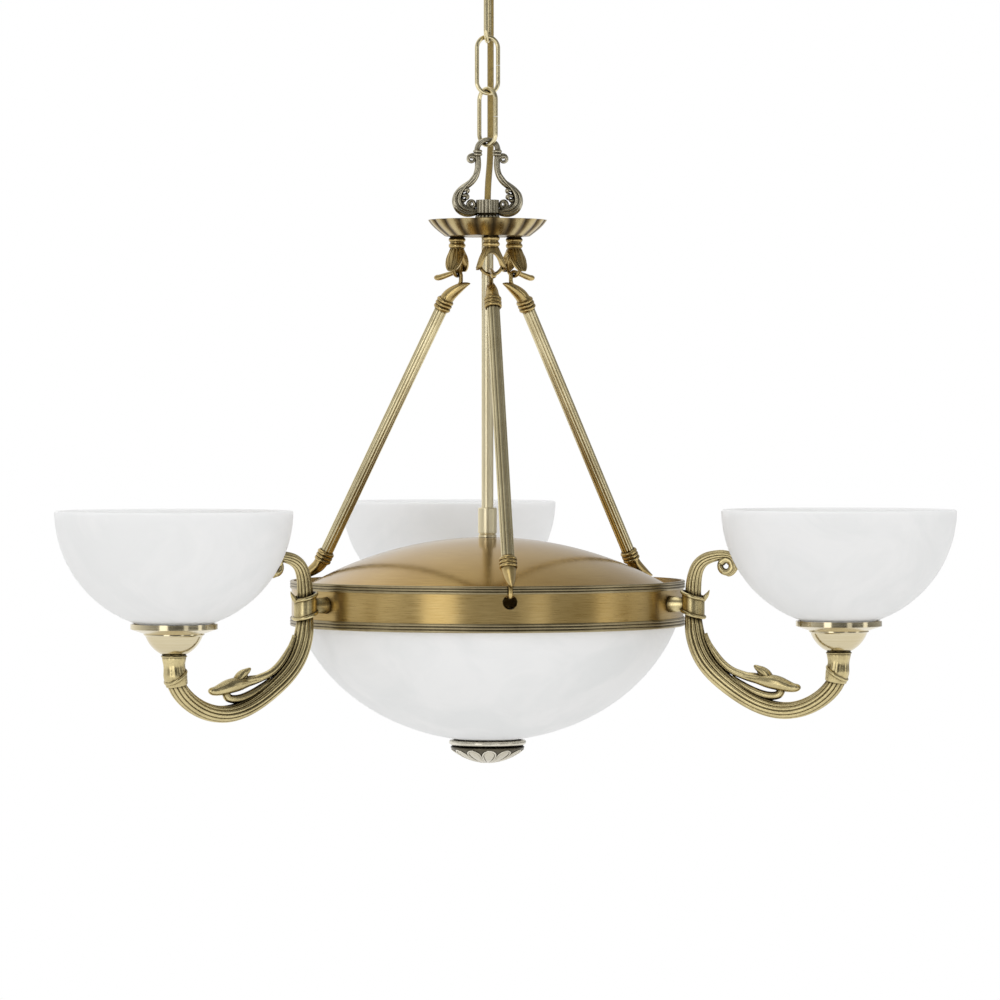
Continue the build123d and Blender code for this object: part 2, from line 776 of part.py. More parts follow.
# Centre rod and the nuts that hold the dome and the spider
rosette_base = bowl_centre - bowl_half_height - felt_thickness - finial_plate - rosette_height
rod_foot = rosette_base + rosette_height / 2
with BuildPart() as centre_rod:
    with BuildSketch(Plane.XY.offset(rod_foot)):
        Circle(centre_rod_radius)
    extrude(amount=sleeve_floor + 4 - rod_foot)
save(centre_rod.part, "centre_rod")

nut_bases = (
    dome_apex - dome_wall - slip - nut_height,
    spider_top + seat,
    spider_top - spider_thickness - seat - nut_height,
)
nut_bore = centre_rod_radius + seat
rod_nuts = [hex_nut(Plane.XY.offset(z), nut_across, nut_height, nut_bore) for z in nut_bases]
save(Compound(children=rod_nuts), "rod_nuts")


def bowl_arc(skin, inner_radius, outer_radius):
    """Part of the bowl's lower curve, a skin outside its surface, from one radius to another."""
    wide = bowl_half_width + skin
    tall = bowl_half_height + skin
    start = degrees(atan2(-sqrt(1 - (inner_radius / wide) ** 2), inner_radius / wide))
    end = degrees(atan2(-sqrt(1 - (outer_radius / wide) ** 2), outer_radius / wide))
    return EllipticalCenterArc((0, bowl_centre), wide, tall, start, arc_size=end - start)


def bowl_radius(skin, z):
    """Radius of the bowl's curve at a level."""
    return (bowl_half_width + skin) * sqrt(1 - ((z - bowl_centre) / (bowl_half_height + skin)) ** 2)


# Glass bowl: its rim bears on the ring's foot and the finial pulls it up
bowl_rim = ring_base - slip
with BuildPart() as glass_bowl:
    with BuildSketch(Plane.XZ):
        with BuildLine():
            outer_curve = bowl_arc(0, bowl_hole_radius, bowl_radius(0, bowl_rim))
            inner_curve = bowl_arc(-bowl_wall, bowl_hole_radius, bowl_radius(-bowl_wall, bowl_rim))
            Line(outer_curve @ 0, inner_curve @ 0)
            Line(outer_curve @ 1, inner_curve @ 1)
        make_face()
    revolve(axis=Axis.Z)
save(glass_bowl.part, "glass_bowl")

with BuildPart() as bowl_felt:
    with BuildSketch(Plane.XZ):
        with BuildLine():
            upper_face = bowl_arc(seat, bowl_hole_radius, felt_radius)
            lower_face = bowl_arc(felt_thickness, bowl_hole_radius, felt_radius)
            Line(upper_face @ 0, lower_face @ 0)
            Line(upper_face @ 1, lower_face @ 1)
        make_face()
    revolve(axis=Axis.Z)
save(bowl_felt.part, "bowl_felt")

# Finial: a plate under the glass with a rosette of petals below it
plate_base = rosette_base + rosette_height
with BuildPart() as finial:
    with BuildSketch(Plane.XZ):
        with BuildLine():
            plate_top = bowl_arc(felt_thickness + seat, centre_rod_radius, finial_radius)
            plate_foot = (finial_radius, plate_base)
            Polyline(plate_top @ 1, plate_foot, (centre_rod_radius, plate_base), plate_top @ 0)
        make_face()
    revolve(axis=Axis.Z)
    for share, level in ((0.82, 1.0), (1.0, 0.76), (0.94, 0.46), (0.7, 0.16), (0.4, 0.0)):
        with BuildSketch(Plane.XY.offset(rosette_base + level * rosette_height)):
            add(scalloped(share * rosette_radius, share * petal_depth, rosette_petals))
    loft()
    with BuildSketch(Plane.XY.offset(rod_foot - seat)):
        Circle(centre_rod_radius + seat)
    extrude(amount=rosette_height, mode=Mode.SUBTRACT)
save(finial.part, "finial")


def lampholder(length, tail=0.0):
    """Lampholder on the axis with its base at zero, a socket at its top and any threaded tail below."""
    with BuildPart() as holder:
        with BuildSketch():
            Circle(holder_radius)
        extrude(amount=length)
        chamfer(holder.edges().group_by(Axis.Z)[-1], 1.0)
        with BuildSketch(Plane.XY.offset(length)):
            Circle(socket_radius)
        extrude(amount=-socket_depth, mode=Mode.SUBTRACT)
        if tail:
            with BuildSketch():
                Circle(holder_tail_radius)
            extrude(amount=-tail)
    return holder.part


def opal_bulb():
    """Golf-ball bulb on the axis, with the top of its base at zero."""
    ball = bulb_length - bulb_radius
    shoulder = (bulb_shoulder_radius, ball - sqrt(bulb_radius**2 - bulb_shoulder_radius**2))
    with BuildPart() as bulb:
        with BuildSketch(Plane.XZ):
            with BuildLine():
                Polyline((0, bulb_length), (0, -bulb_base), (bulb_base_radius, -bulb_base),
                         (bulb_base_radius, 0), (bulb_neck_radius, 1), shoulder)
                ThreePointArc(shoulder, (bulb_radius, ball), (0, bulb_length))
            make_face()
        revolve(axis=Axis.Z)
    return bulb.part


# Lamps in the bowl: one under each leg of the spider
bowl_holder_top = spider_top - spider_thickness - seat
bowl_lamp_place = Location((bowl_lamp_circle, 0, bowl_holder_top), (180, 0, 0))
bowl_bulb_place = Location((bowl_lamp_circle, 0, bowl_holder_top - bowl_holder_length), (180, 0, 0))
save_group(lampholder(bowl_holder_length).moved(bowl_lamp_place), "bowl_lampholders", arm_angles)
save_group(opal_bulb().moved(bowl_bulb_place), "bowl_bulbs", arm_angles)

# Arm: one reeded casting that sweeps from the cup down and round, up past the clasp and into a volute
volute = []
for step in range(7):
    share = step / 6
    radius = volute_radius + (volute_eye - volute_radius) * share
    side, rise = polar(radius, 120 - volute_turn * share)
    volute.append((volute_reach + side, ring_top + volute_rise + rise))
arm_bottom = ring_top - arm_drop
arm_fall = arm_end - arm_bottom
sweep_points = [
    (arm_reach, arm_end),
    (arm_reach - 2.6, arm_end - 0.51 * arm_fall),
    (arm_reach - 17, arm_end - 0.82 * arm_fall),
    (arm_reach - 47, arm_bottom),
    (arm_line + 29, arm_bottom + 19.5),
    (arm_line + 10, arm_bottom + 38),
    (arm_line + 1, spigot_z - 20),
    (arm_line, spigot_z),
    (arm_line + 0.2, spigot_z + 14),
    (arm_line + 6, spigot_z + 32.5),
]
arm_radii = [
    *(arm_radius + swell for swell in (0, 0, -0.2, -0.4, -0.5, -0.4, -0.2, 0.1, 0.4, 0.6, 0.4)),
    arm_neck_radius,
    arm_neck_radius,
    *(arm_neck_radius * share for share in (0.86, 0.7, 0.48, 0.36, 0.2)),
]
arm_tangents = [(0, 0, -1), (1, 0, -0.6)]

# Leaf sprig inside the sweep of the arm: stem with a leaf, a bud and a tendril
stem_outline = [(10, 59), (15.5, 47), (29, 31.5), (51, 25), (66, 22.5), (83, 19.8)]
bud_outline = [(63, 23), (57, 28), (52.5, 33.5)]
tendril_outline = [(33, 26), (46, 17), (58, 12), (68, 12.2), (72, 16.5), (70.5, 20)]
leaf_stem = limb(
    [(arm_line + side, arm_bottom + rise) for side, rise in stem_outline],
    [sprig_wire * share for share in (1, 1.1, 1.1, 1.1, 1.3, 2, 2.2, 1.5, 0.3)],
    15,
    ribs=6,
    rib_depth=0.14,
)
leaf_bud = limb(
    [(arm_line + side, arm_bottom + rise) for side, rise in bud_outline],
    [sprig_wire * share for share in (0.8, 1.1, 0.25)],
    5,
)
tendril = limb(
    [(arm_line + side, arm_bottom + rise) for side, rise in tendril_outline],
    [sprig_wire * share for share in (0.6, 0.95, 1, 0.95, 0.85, 0.7)],
    11,
)
calyx_lean = (sin(radians(calyx_slant)), 0, cos(radians(calyx_slant)))
calyx_foot = (arm_reach - 2.6, arm_end - calyx_length)
calyx_edge_middle = (arm_reach - calyx_edge_shift, 0, arm_end - calyx_edge_drop)
calyx_edge = Plane(calyx_edge_middle, x_dir=(0, 1, 0), z_dir=calyx_lean)
calyx = limb(
    [(arm_reach, arm_end), (arm_reach - 0.5, arm_end - calyx_length / 2), calyx_foot],
    [calyx_radius - thinning for thinning in (0, 0, 1, 0.6, 0, 0.4, 1)],
    9,
    ribs=8,
    rib_depth=0.05,
    tangents=[(0, 0, -1), (-0.2, 0, -1)],
)
arm_sweep = limb(
    sweep_points + volute,
    arm_radii,
    40,
    ribs=arm_reeds,
    rib_depth=arm_reed_depth,
    tangents=arm_tangents,
)
with BuildPart() as arm:
    add(arm_sweep)
    for piece in (calyx, leaf_stem, leaf_bud, tendril):
        add(piece)
    with Locations(calyx_edge):
        Torus(calyx_radius - calyx_roll / 3, calyx_roll)
    with Locations((arm_reach, 0, arm_end - calyx_roll)):
        Torus(calyx_radius, calyx_roll / 2)
    with BuildSketch(Plane((arm_reach, 0, arm_end))):
        Circle(holder_tail_radius + slip)
    extrude(amount=holder_base - holder_tail - arm_end - 1, mode=Mode.SUBTRACT)
print("arm", arm.part.is_valid, len(arm.part.solids()), round(arm.part.volume / 1000, 1), "cm3")
save_round(arm.part, "arm", arm_angles)

# Clasp: a slanted ribbon with rolled edges and a thorn, on a spigot whose stud goes through the band
clasp_bore = arm_neck_radius + 2 * slip
clasp_outside = clasp_bore + clasp_wall
clasp_lean = (sin(radians(clasp_slant)), 0, cos(radians(clasp_slant)))
ring_side = Plane((ring_radius + seat, 0, spigot_z), x_dir=(0, 1, 0), z_dir=(1, 0, 0))
thorn_outline = [(-1, 4), (2.4, 7.5), (4.6, 11.5)]
thorn = limb(
    [(arm_line + clasp_outside + side, spigot_z + rise) for side, rise in thorn_outline],
    [thorn_radius * share for share in (1, 0.7, 0.16)],
    5,
)
with BuildPart() as ribbon:
    with Locations((arm_line, 0, spigot_z)):
        Cylinder(clasp_outside, 2 * clasp_height)
    for side, keep in ((1, Keep.BOTTOM), (-1, Keep.TOP)):
        edge = Plane((arm_line, 0, spigot_z + side * clasp_height / 2), x_dir=(0, 1, 0), z_dir=clasp_lean)
        split(bisect_by=edge, keep=keep)
with BuildPart() as arm_clasp:
    with BuildSketch(ring_side):
        Circle(spigot_radius)
    extrude(amount=arm_line - ring_radius, taper=6)
    add(ribbon.part)
    for side in (1, -1):
        edge = Plane((arm_line, 0, spigot_z + side * clasp_height / 2), x_dir=(0, 1, 0), z_dir=clasp_lean)
        with Locations(edge):
            Torus(clasp_outside + clasp_roll / 5, clasp_roll)
    add(thorn)
    with BuildSketch(Plane((arm_line, 0, spigot_z - clasp_height))):
        Circle(clasp_bore)
    extrude(amount=2 * clasp_height, mode=Mode.SUBTRACT)
    with BuildSketch(ring_side):
        Circle(arm_stud_radius)
    extrude(amount=-arm_stud)
save_round(arm_clasp.part, "arm_clasp", arm_angles)

nut_face = tab_face - spider_thickness - seat
arm_nut_plane = Plane((nut_face, 0, spigot_z), x_dir=(0, 1, 0), z_dir=(-1, 0, 0))
arm_nut = hex_nut(arm_nut_plane, arm_nut_across, arm_nut_height, arm_stud_radius + seat)
save_group(arm_nut, "arm_nuts", arm_angles)


def sphere_level(radius, offset):
    """Level of the shade's sphere, moved outwards by an offset, at a radius from its axis."""
    return shade_centre - sqrt((shade_radius + offset) ** 2 - radius**2)


def shade_arc(offset, low_radius):
    """Curve of the shade from its hole up to its rim."""
    size = shade_radius + offset
    middle = size * sin(radians(45))
    rim = sqrt(size**2 - shade_rim_drop**2)
    return ThreePointArc(
        (arm_reach + low_radius, sphere_level(low_radius, offset)),
        (arm_reach + middle, shade_centre - middle),
        (arm_reach + rim, shade_centre - shade_rim_drop),
    )


# Cup: a cast gallery whose floor follows the glass
lamp_axis = Axis((arm_reach, 0, 0), (0, 0, 1))
cup_bore = holder_tail_radius + slip
cup_seat_radius = 0.65 * (cup_radius - cup_wall)
holder_pocket = holder_radius + slip
with BuildPart() as cup:
    with BuildSketch(Plane.XZ):
        with BuildLine():
            neck_curve = ThreePointArc(
                (arm_reach + cup_step_radius - 1.4, cup_rim - cup_lip - 5.4),
                (arm_reach + 0.5 * (cup_step_radius + cup_neck_radius) + 1.6, cup_rim - cup_lip - 12.4),
                (arm_reach + cup_neck_radius, arm_end + seat),
            )
            glass_seat = ThreePointArc(
                (arm_reach + holder_pocket, sphere_level(holder_pocket, slip)),
                (arm_reach + (holder_pocket + cup_seat_radius) / 2,
                 sphere_level((holder_pocket + cup_seat_radius) / 2, slip)),
                (arm_reach + cup_seat_radius, sphere_level(cup_seat_radius, slip)),
            )
            Polyline(
                neck_curve @ 1,
                (arm_reach + cup_bore, arm_end + seat),
                (arm_reach + cup_bore, holder_base - seat),
                (arm_reach + holder_pocket, holder_base - seat),
                glass_seat @ 0,
            )
            Polyline(
                glass_seat @ 1,
                (arm_reach + cup_radius - cup_wall, cup_rim - cup_lip / 2),
                (arm_reach + cup_radius - cup_wall, cup_rim),
                (arm_reach + cup_radius, cup_rim),
                (arm_reach + cup_radius, cup_rim - cup_lip),
                (arm_reach + cup_step_radius, cup_rim - cup_lip - 3.5),
                (arm_reach + cup_step_radius, cup_rim - cup_lip - 4.4),
                neck_curve @ 0,
            )
        make_face()
    revolve(axis=lamp_axis)
save_round(cup.part, "cup", arm_angles)

# Shade: an open glass hemisphere with a hole for the lampholder
with BuildPart() as shade:
    with BuildSketch(Plane.XZ):
        with BuildLine():
            outer_glass = shade_arc(0, shade_hole_radius)
            inner_glass = shade_arc(-shade_wall, shade_hole_radius)
            Line(outer_glass @ 0, inner_glass @ 0)
            ThreePointArc(
                outer_glass @ 1,
                (outer_glass @ 1 + inner_glass @ 1) * 0.5 + Vector(0, shade_wall / 2),
                inner_glass @ 1,
            )
        make_face()
    revolve(axis=lamp_axis)
save_round(shade.part, "shade", arm_angles)

# Lampholders, the rings that clamp the glass, and the bulbs
holder_place = Location((arm_reach, 0, holder_base))
save_round(lampholder(holder_length, holder_tail).moved(holder_place), "lampholder", arm_angles)
ring_level = sphere_level(shade_ring_radius, -shade_wall) + slip
with BuildPart() as shade_ring:
    with BuildSketch(Plane((arm_reach, 0, ring_level))):
        Circle(shade_ring_radius)
        Circle(holder_radius + seat, mode=Mode.SUBTRACT)
    extrude(amount=shade_ring_height)
save_group(shade_ring.part, "shade_rings", arm_angles)
save_round(opal_bulb().moved(Location((arm_reach, 0, holder_base + holder_length))), "bulb", arm_angles)
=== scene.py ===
# %% [markdown]
# A brass pendant light with a glass bowl and three shades, dressed over its CAD frame. The frame already
# holds every rigid piece at its true size, so this lesson is mostly about surfaces: aged brass that is
# rubbed bright on its crests and dark in its hollows, satin opal glass and a braided cord. A few small
# ornaments that a foundry would chase by hand are added on top.

# %% Load the frame
import bpy
import bmesh
import json
from math import cos, pi, radians, sin
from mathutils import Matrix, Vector


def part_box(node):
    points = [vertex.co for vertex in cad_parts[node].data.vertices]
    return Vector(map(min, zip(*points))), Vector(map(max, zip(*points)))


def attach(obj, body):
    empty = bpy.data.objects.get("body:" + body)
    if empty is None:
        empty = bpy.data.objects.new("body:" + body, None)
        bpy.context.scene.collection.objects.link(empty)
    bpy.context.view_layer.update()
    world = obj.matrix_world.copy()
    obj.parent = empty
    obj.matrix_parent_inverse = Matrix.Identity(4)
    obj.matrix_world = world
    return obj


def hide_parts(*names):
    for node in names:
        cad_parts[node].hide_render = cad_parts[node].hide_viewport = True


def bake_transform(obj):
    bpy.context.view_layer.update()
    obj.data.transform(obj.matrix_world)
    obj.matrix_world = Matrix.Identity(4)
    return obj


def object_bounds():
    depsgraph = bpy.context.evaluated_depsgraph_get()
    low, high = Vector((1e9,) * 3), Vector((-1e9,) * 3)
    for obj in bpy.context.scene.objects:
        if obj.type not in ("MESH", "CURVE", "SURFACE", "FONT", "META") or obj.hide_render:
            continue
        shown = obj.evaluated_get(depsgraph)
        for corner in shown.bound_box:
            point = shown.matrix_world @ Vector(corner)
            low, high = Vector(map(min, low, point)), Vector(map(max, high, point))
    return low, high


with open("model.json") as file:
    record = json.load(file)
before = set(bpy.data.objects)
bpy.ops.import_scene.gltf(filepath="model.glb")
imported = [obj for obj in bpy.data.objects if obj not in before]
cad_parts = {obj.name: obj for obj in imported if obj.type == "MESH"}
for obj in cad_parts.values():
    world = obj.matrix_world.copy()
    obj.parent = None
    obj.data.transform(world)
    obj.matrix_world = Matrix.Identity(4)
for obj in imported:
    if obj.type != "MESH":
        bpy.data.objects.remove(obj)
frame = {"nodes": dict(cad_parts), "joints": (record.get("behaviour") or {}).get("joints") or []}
nodes = frame["nodes"]
cad_box = [list(corner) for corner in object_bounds()]
scene = bpy.context.scene
scene.view_settings.view_transform = "Standard"
print("CAD pieces:", len(nodes), "box:", [[round(v, 3) for v in corner] for corner in cad_box])

# %% [markdown]
# The camera comes first, because everything else is judged through it. The photograph was taken from far
# away with a long lens: the shades' rims are seen almost edge on and the far shade is hardly smaller than
# the near ones. About four metres and a lens of 184 mm give that flat look, a little to the left of the
# front and slightly above the ring.

# %% Camera
VIEW_AZIMUTH = radians(-6.5)
VIEW_PITCH = radians(0.92)
VIEW_DISTANCE = 4.08
AIM_HEIGHT = -0.47245
AIM_ASIDE = 0.010
SENSOR_MM = 36
LENS_MM = 183.6

right = Vector((cos(VIEW_AZIMUTH), sin(VIEW_AZIMUTH), 0))
back = Vector((
    sin(VIEW_AZIMUTH) * cos(VIEW_PITCH),
    -cos(VIEW_AZIMUTH) * cos(VIEW_PITCH),
    sin(VIEW_PITCH),
))
aim = right * AIM_ASIDE + Vector((0, 0, AIM_HEIGHT))
camera = bpy.data.objects.new("camera", bpy.data.cameras.new("camera"))
camera.data.sensor_width = SENSOR_MM
camera.data.lens = LENS_MM
camera.location = aim + back * VIEW_DISTANCE
camera.rotation_mode = "QUATERNION"
camera.rotation_quaternion = (-back).to_track_quat("-Z", "Y")
scene.collection.objects.link(camera)
scene.camera = camera
print("camera at", [round(v, 3) for v in camera.location])

# %% [markdown]
# Materials are node trees. They could be drawn in the shader editor, but a script can be read and run
# again. A few helpers keep it short: one turns an sRGB hex value into the linear numbers that the renderer
# works in, one adds a node with its settings and its links in a single call, and one turns the size of a
# pattern, written in millimetres, into a texture scale.

# %% Helpers for materials


def hex_colour(code):
    """Linear RGBA of an sRGB hex value such as #B8935A."""
    channels = [int(code[place:place + 2], 16) / 255 for place in (1, 3, 5)]
    linear = [c / 12.92 if c <= 0.04045 else ((c + 0.055) / 1.055) ** 2.4 for c in channels]
    return (*linear, 1.0)


def add(tree, kind, values=None, stops=(), **settings):
    """Add a node, set its properties, fill or link its inputs, and place the colours of a ramp."""
    node = tree.nodes.new(kind)
    for key, value in settings.items():
        setattr(node, key, value)
    for key, value in (values or {}).items():
        if isinstance(value, bpy.types.NodeSocket):
            tree.links.new(value, node.inputs[key])
        else:
            node.inputs[key].default_value = value
    for number, (place, code) in enumerate(stops):
        colours = node.color_ramp.elements
        stop = colours[number] if number < len(colours) else colours.new(place)
        stop.position = place
        stop.color = hex_colour(code)
    return node


def per_mm(size):
    """Texture scale, in metres, for a pattern that repeats about every so many millimetres."""
    return 1000.0 / size


def new_material(name):
    """Empty node material with its shader, and the object coordinates that its patterns read."""
    material = bpy.data.materials.new(name)
    material.use_nodes = True
    tree = material.node_tree
    shader = tree.nodes["Principled BSDF"]
    place = add(tree, "ShaderNodeTexCoord").outputs["Object"]
    return material, tree, shader, place


print("helpers ready")

# %% [markdown]
# Antique brass castings. The real ones are cast, blackened all over and then rubbed back with a wheel, so
# crests shine in a warm straw colour and hollows keep a brown-black film. The film could be painted on
# each piece, but ambient occlusion finds the hollows of any mesh by itself, and a slow noise keeps the
# rubbing uneven, as a hand leaves it. The dish's flutes are shallow, so a wave round the axis helps there.

# %% Antique brass
CLOUD_MM = 26
SPECK_MM = 2.2
CLOUD_SHARE = 0.3
SPECK_SHARE = 0.12
GROOVE_SHARPNESS = 3.0
GROOVE_SHARE = 0.42
FILM_AT = 0.72
CREST_AT = 1.27
ROUGHER_IN_HOLLOWS = 0.22


def antique_brass(name, crest, half_way, film, hollow_mm, roughness, flutes=0):
    """Cast brass with a dark film in its hollows, and between flutes round the axis where it has them."""
    material, tree, shader, place = new_material(name)
    hollow = add(tree, "ShaderNodeAmbientOcclusion", {"Distance": hollow_mm / 1000}, samples=6)
    cloud = add(tree, "ShaderNodeTexNoise", {"Vector": place, "Scale": per_mm(CLOUD_MM), "Detail": 3.0})
    speck = add(tree, "ShaderNodeTexNoise", {"Vector": place, "Scale": per_mm(SPECK_MM), "Detail": 2.0})
    spread = add(tree, "ShaderNodeMath", {0: cloud.outputs["Fac"], 1: CLOUD_SHARE}, operation="MULTIPLY")
    open_air = add(tree, "ShaderNodeMath", {0: hollow.outputs["AO"], 1: spread.outputs[0]}, operation="ADD")
    fine = add(tree, "ShaderNodeMath", {0: speck.outputs["Fac"], 1: SPECK_SHARE}, operation="MULTIPLY")
    rubbed = add(tree, "ShaderNodeMath", {0: open_air.outputs[0], 1: fine.outputs[0]}, operation="ADD")
    if flutes:
        split = add(tree, "ShaderNodeSeparateXYZ", {"Vector": place})
        angle = add(tree, "ShaderNodeMath", {0: split.outputs["Y"], 1: split.outputs["X"]},
                    operation="ARCTAN2")
        phase = add(tree, "ShaderNodeMath", {0: angle.outputs[0], 1: flutes / 2}, operation="MULTIPLY")
        wave = add(tree, "ShaderNodeMath", {0: phase.outputs[0]}, operation="COSINE")
        level = add(tree, "ShaderNodeMath", {0: wave.outputs[0]}, operation="ABSOLUTE")
        groove = add(tree, "ShaderNodeMath", {0: level.outputs[0], 1: GROOVE_SHARPNESS}, operation="POWER")
        depth = add(tree, "ShaderNodeMath", {0: groove.outputs[0], 1: GROOVE_SHARE}, operation="MULTIPLY")
        rubbed = add(tree, "ShaderNodeMath", {0: rubbed.outputs[0], 1: depth.outputs[0]},
                     operation="SUBTRACT")
    shine = add(tree, "ShaderNodeMapRange", {"Value": rubbed.outputs[0], "From Min": FILM_AT,
                                             "From Max": CREST_AT})
    tint = add(tree, "ShaderNodeValToRGB", {"Fac": shine.outputs[0]},
               stops=[(0.0, film), (0.5, half_way), (1.0, crest)])
    tree.links.new(tint.outputs["Color"], shader.inputs["Base Color"])
    shader.inputs["Metallic"].default_value = 1.0
    rough = add(tree, "ShaderNodeMapRange", {"Value": rubbed.outputs[0], "From Min": 0.7, "From Max": 1.2,
                                             "To Min": roughness + ROUGHER_IN_HOLLOWS, "To Max": roughness})
    tree.links.new(rough.outputs[0], shader.inputs["Roughness"])
    grain = add(tree, "ShaderNodeBump",
                {"Strength": 0.12, "Distance": 0.0002, "Height": speck.outputs["Fac"]})
    tree.links.new(grain.outputs["Normal"], shader.inputs["Normal"])
    return material


cast_brass = antique_brass("cast_antique_brass", "#DECE9C", "#83724A", "#18130A", 4.5, 0.25)
warm_brass = antique_brass("cast_warm_brass", "#D2B97F", "#80693B", "#1B150A", 4.5, 0.25)
dish_brass = antique_brass("fluted_antique_brass", "#CDBB8B", "#8A7650", "#33291A", 5.0, 0.26, flutes=20)
rod_brass = antique_brass("drawn_antique_brass", "#EFE2B8", "#AD9C70", "#2A2213", 1.6, 0.26)
silvery_brass = antique_brass("worn_antique_brass", "#D2CAB2", "#827960", "#15120C", 4.5, 0.26)
rim_brass = antique_brass("bright_worn_brass", "#EAE5D6", "#A79F8A", "#2A251B", 1.2, 0.22)
dark_brass = antique_brass("blackened_brass", "#6A6456", "#3E392E", "#100E0A", 3.0, 0.32)
petal_brass = antique_brass("rubbed_petal_brass", "#DDD7C6", "#9E9784", "#26221A", 1.0, 0.24)
trim_brass = antique_brass("pressed_brass_trim", "#AB9D7A", "#665A40", "#1F1A10", 1.6, 0.32)
print("cast brass ready")

# %% [markdown]
# Spun and brushed brass. The dome was spun on a lathe and the band was brushed round and round, so both
# have very fine lines that run round the axis. A picture of brushed metal would have a seam there. In a
# cylinder's own coordinates, angle, height and radius, such lines are a noise that is stretched along the
# angle. The lines of a real brush are too fine to show here, so they are drawn half a millimetre or more
# apart. The canopy, the cups and the stem have such lines too.

# %% Brushed brass
LINES_STRETCH = 0.004
BRUSH_CLOUD_MM = 60
BRUSH_CLOUD_SHARE = 0.35
QUARTER_TURN = 0.25


def brushed_brass(name, colours, along, across_mm, roughness, contrast, stretch):
    """Brass with brush lines round the axis; along says which coordinate the lines are stacked on."""
    material, tree, shader, place = new_material(name)
    split = add(tree, "ShaderNodeSeparateXYZ", {"Vector": place})
    x, y, z = (split.outputs[axis] for axis in "XYZ")
    angle = add(tree, "ShaderNodeMath", {0: y, 1: x}, operation="ARCTAN2").outputs[0]
    turn = add(tree, "ShaderNodeMath", {0: angle, 1: LINES_STRETCH}, operation="MULTIPLY").outputs[0]
    flat = add(tree, "ShaderNodeCombineXYZ", {"X": x, "Y": y})
    reach = add(tree, "ShaderNodeVectorMath", {0: flat.outputs[0]}, operation="LENGTH").outputs["Value"]
    stack = z if along == "height" else reach
    lines_at = add(tree, "ShaderNodeCombineXYZ", {"X": turn, "Y": stack})
    lines = add(tree, "ShaderNodeTexNoise", {"Vector": lines_at.outputs[0], "Scale": per_mm(across_mm),
                                             "Detail": 4.0, "Roughness": 0.7})
    cloud = add(tree, "ShaderNodeTexNoise", {"Vector": place, "Scale": per_mm(BRUSH_CLOUD_MM), "Detail": 2.0})
    mixed = add(tree, "ShaderNodeMix", {"Factor": BRUSH_CLOUD_SHARE, "A": lines.outputs["Fac"],
                                        "B": cloud.outputs["Fac"]}, data_type="FLOAT")
    tint = add(tree, "ShaderNodeValToRGB", {"Fac": mixed.outputs["Result"]},
               stops=[(0.5 - contrast, colours[0]), (0.5 + contrast, colours[1])])
    tree.links.new(tint.outputs["Color"], shader.inputs["Base Color"])
    shader.inputs["Metallic"].default_value = 1.0
    rough = add(tree, "ShaderNodeMapRange", {"Value": lines.outputs["Fac"], "From Min": 0.3, "From Max": 0.7,
                                             "To Min": roughness - 0.05, "To Max": roughness + 0.08})
    tree.links.new(rough.outputs[0], shader.inputs["Roughness"])
    shader.inputs["Anisotropic"].default_value = stretch
    shader.inputs["Anisotropic Rotation"].default_value = QUARTER_TURN
    scratch = add(tree, "ShaderNodeBump",
                  {"Strength": 0.1, "Distance": 0.0001, "Height": lines.outputs["Fac"]})
    tree.links.new(scratch.outputs["Normal"], shader.inputs["Normal"])
    return material


dome_brass = brushed_brass("spun_brass", ("#A58347", "#C6A767"), "radius", 0.8, 0.14, 0.2, 0.3)
band_brass = brushed_brass("brushed_brass_band", ("#9C8048", "#D2B87F"), "height", 0.5, 0.3, 0.18, 0.85)
turned_brass = brushed_brass("turned_brass", ("#CFC09B", "#E2D8BA"), "height", 0.7, 0.14, 0.22, 0.5)
# The stem and its sleeve are painted lighter than the turned brass: a painted highlight along the tube.
stem_brass_painted_highlight = brushed_brass("brass_tube_painted_highlight", ("#E4D6AC", "#F3E9CA"), "height", 0.7, 0.32, 0.22, 0.0)
print("brushed brass ready")

# %% [markdown]
# Opal glass. The bowl and the shades are white glass with an etched, satin skin: light enters, scatters
# and comes out soft, and there is no clear reflection. A cloudy volume between clear walls could do that
# slowly, and subsurface scattering gives the same look at once. Faint clouds inside, like those of
# alabaster, are a slow noise with its own twist. The bulbs are the same glass with a smoother skin.

# %% Glass
GLASS_CLOUD_MM = 70
GLASS_IOR = 1.5
SCATTER_REACH = 0.02


def opal_glass(name, pale, cloudy, roughness, scatter):
    """White scattering glass with faint clouds."""
    material, tree, shader, place = new_material(name)
    cloud = add(tree, "ShaderNodeTexNoise", {"Vector": place, "Scale": per_mm(GLASS_CLOUD_MM), "Detail": 5.0,
                                             "Roughness": 0.55, "Distortion": 1.6})
    tint = add(tree, "ShaderNodeValToRGB", {"Fac": cloud.outputs["Fac"]},
               stops=[(0.36, cloudy), (0.62, pale)])
    tree.links.new(tint.outputs["Color"], shader.inputs["Base Color"])
    shader.inputs["Roughness"].default_value = roughness
    shader.inputs["IOR"].default_value = GLASS_IOR
    shader.inputs["Subsurface Weight"].default_value = scatter
    shader.inputs["Subsurface Radius"].default_value = (SCATTER_REACH,) * 3
    shader.inputs["Subsurface Scale"].default_value = 1.0
    return material


shade_glass = opal_glass("etched_opal_glass", "#E9E9E9", "#E2E3E3", 0.5, 0.9)
# The bowl is the same glass as the shades, painted a whiter white: painted light that makes up for the shade
# of its closed, dark inside.
bowl_glass_painted_light = opal_glass("etched_opal_glass_painted_light", "#F3F3F3", "#ECEDED", 0.5, 0.12)
bulb_glass = opal_glass("opal_bulb_glass", "#EFEDE8", "#EAE8E3", 0.25, 0.5)
print("glass ready")

# %% [markdown]
# The pieces that hardly show still get their own finish: zinc-plated steel for the bracket, the nuts and
# the rod inside, glazed ceramic for the lampholders, moulded nylon for the cord's bush and the shades' rings,
# and felt for the washer under the glass. One grey would do from the front, but the shades are open, so
# some of these pieces show from above. Each is a fine mottle with a matching grain.

# %% Finishes inside


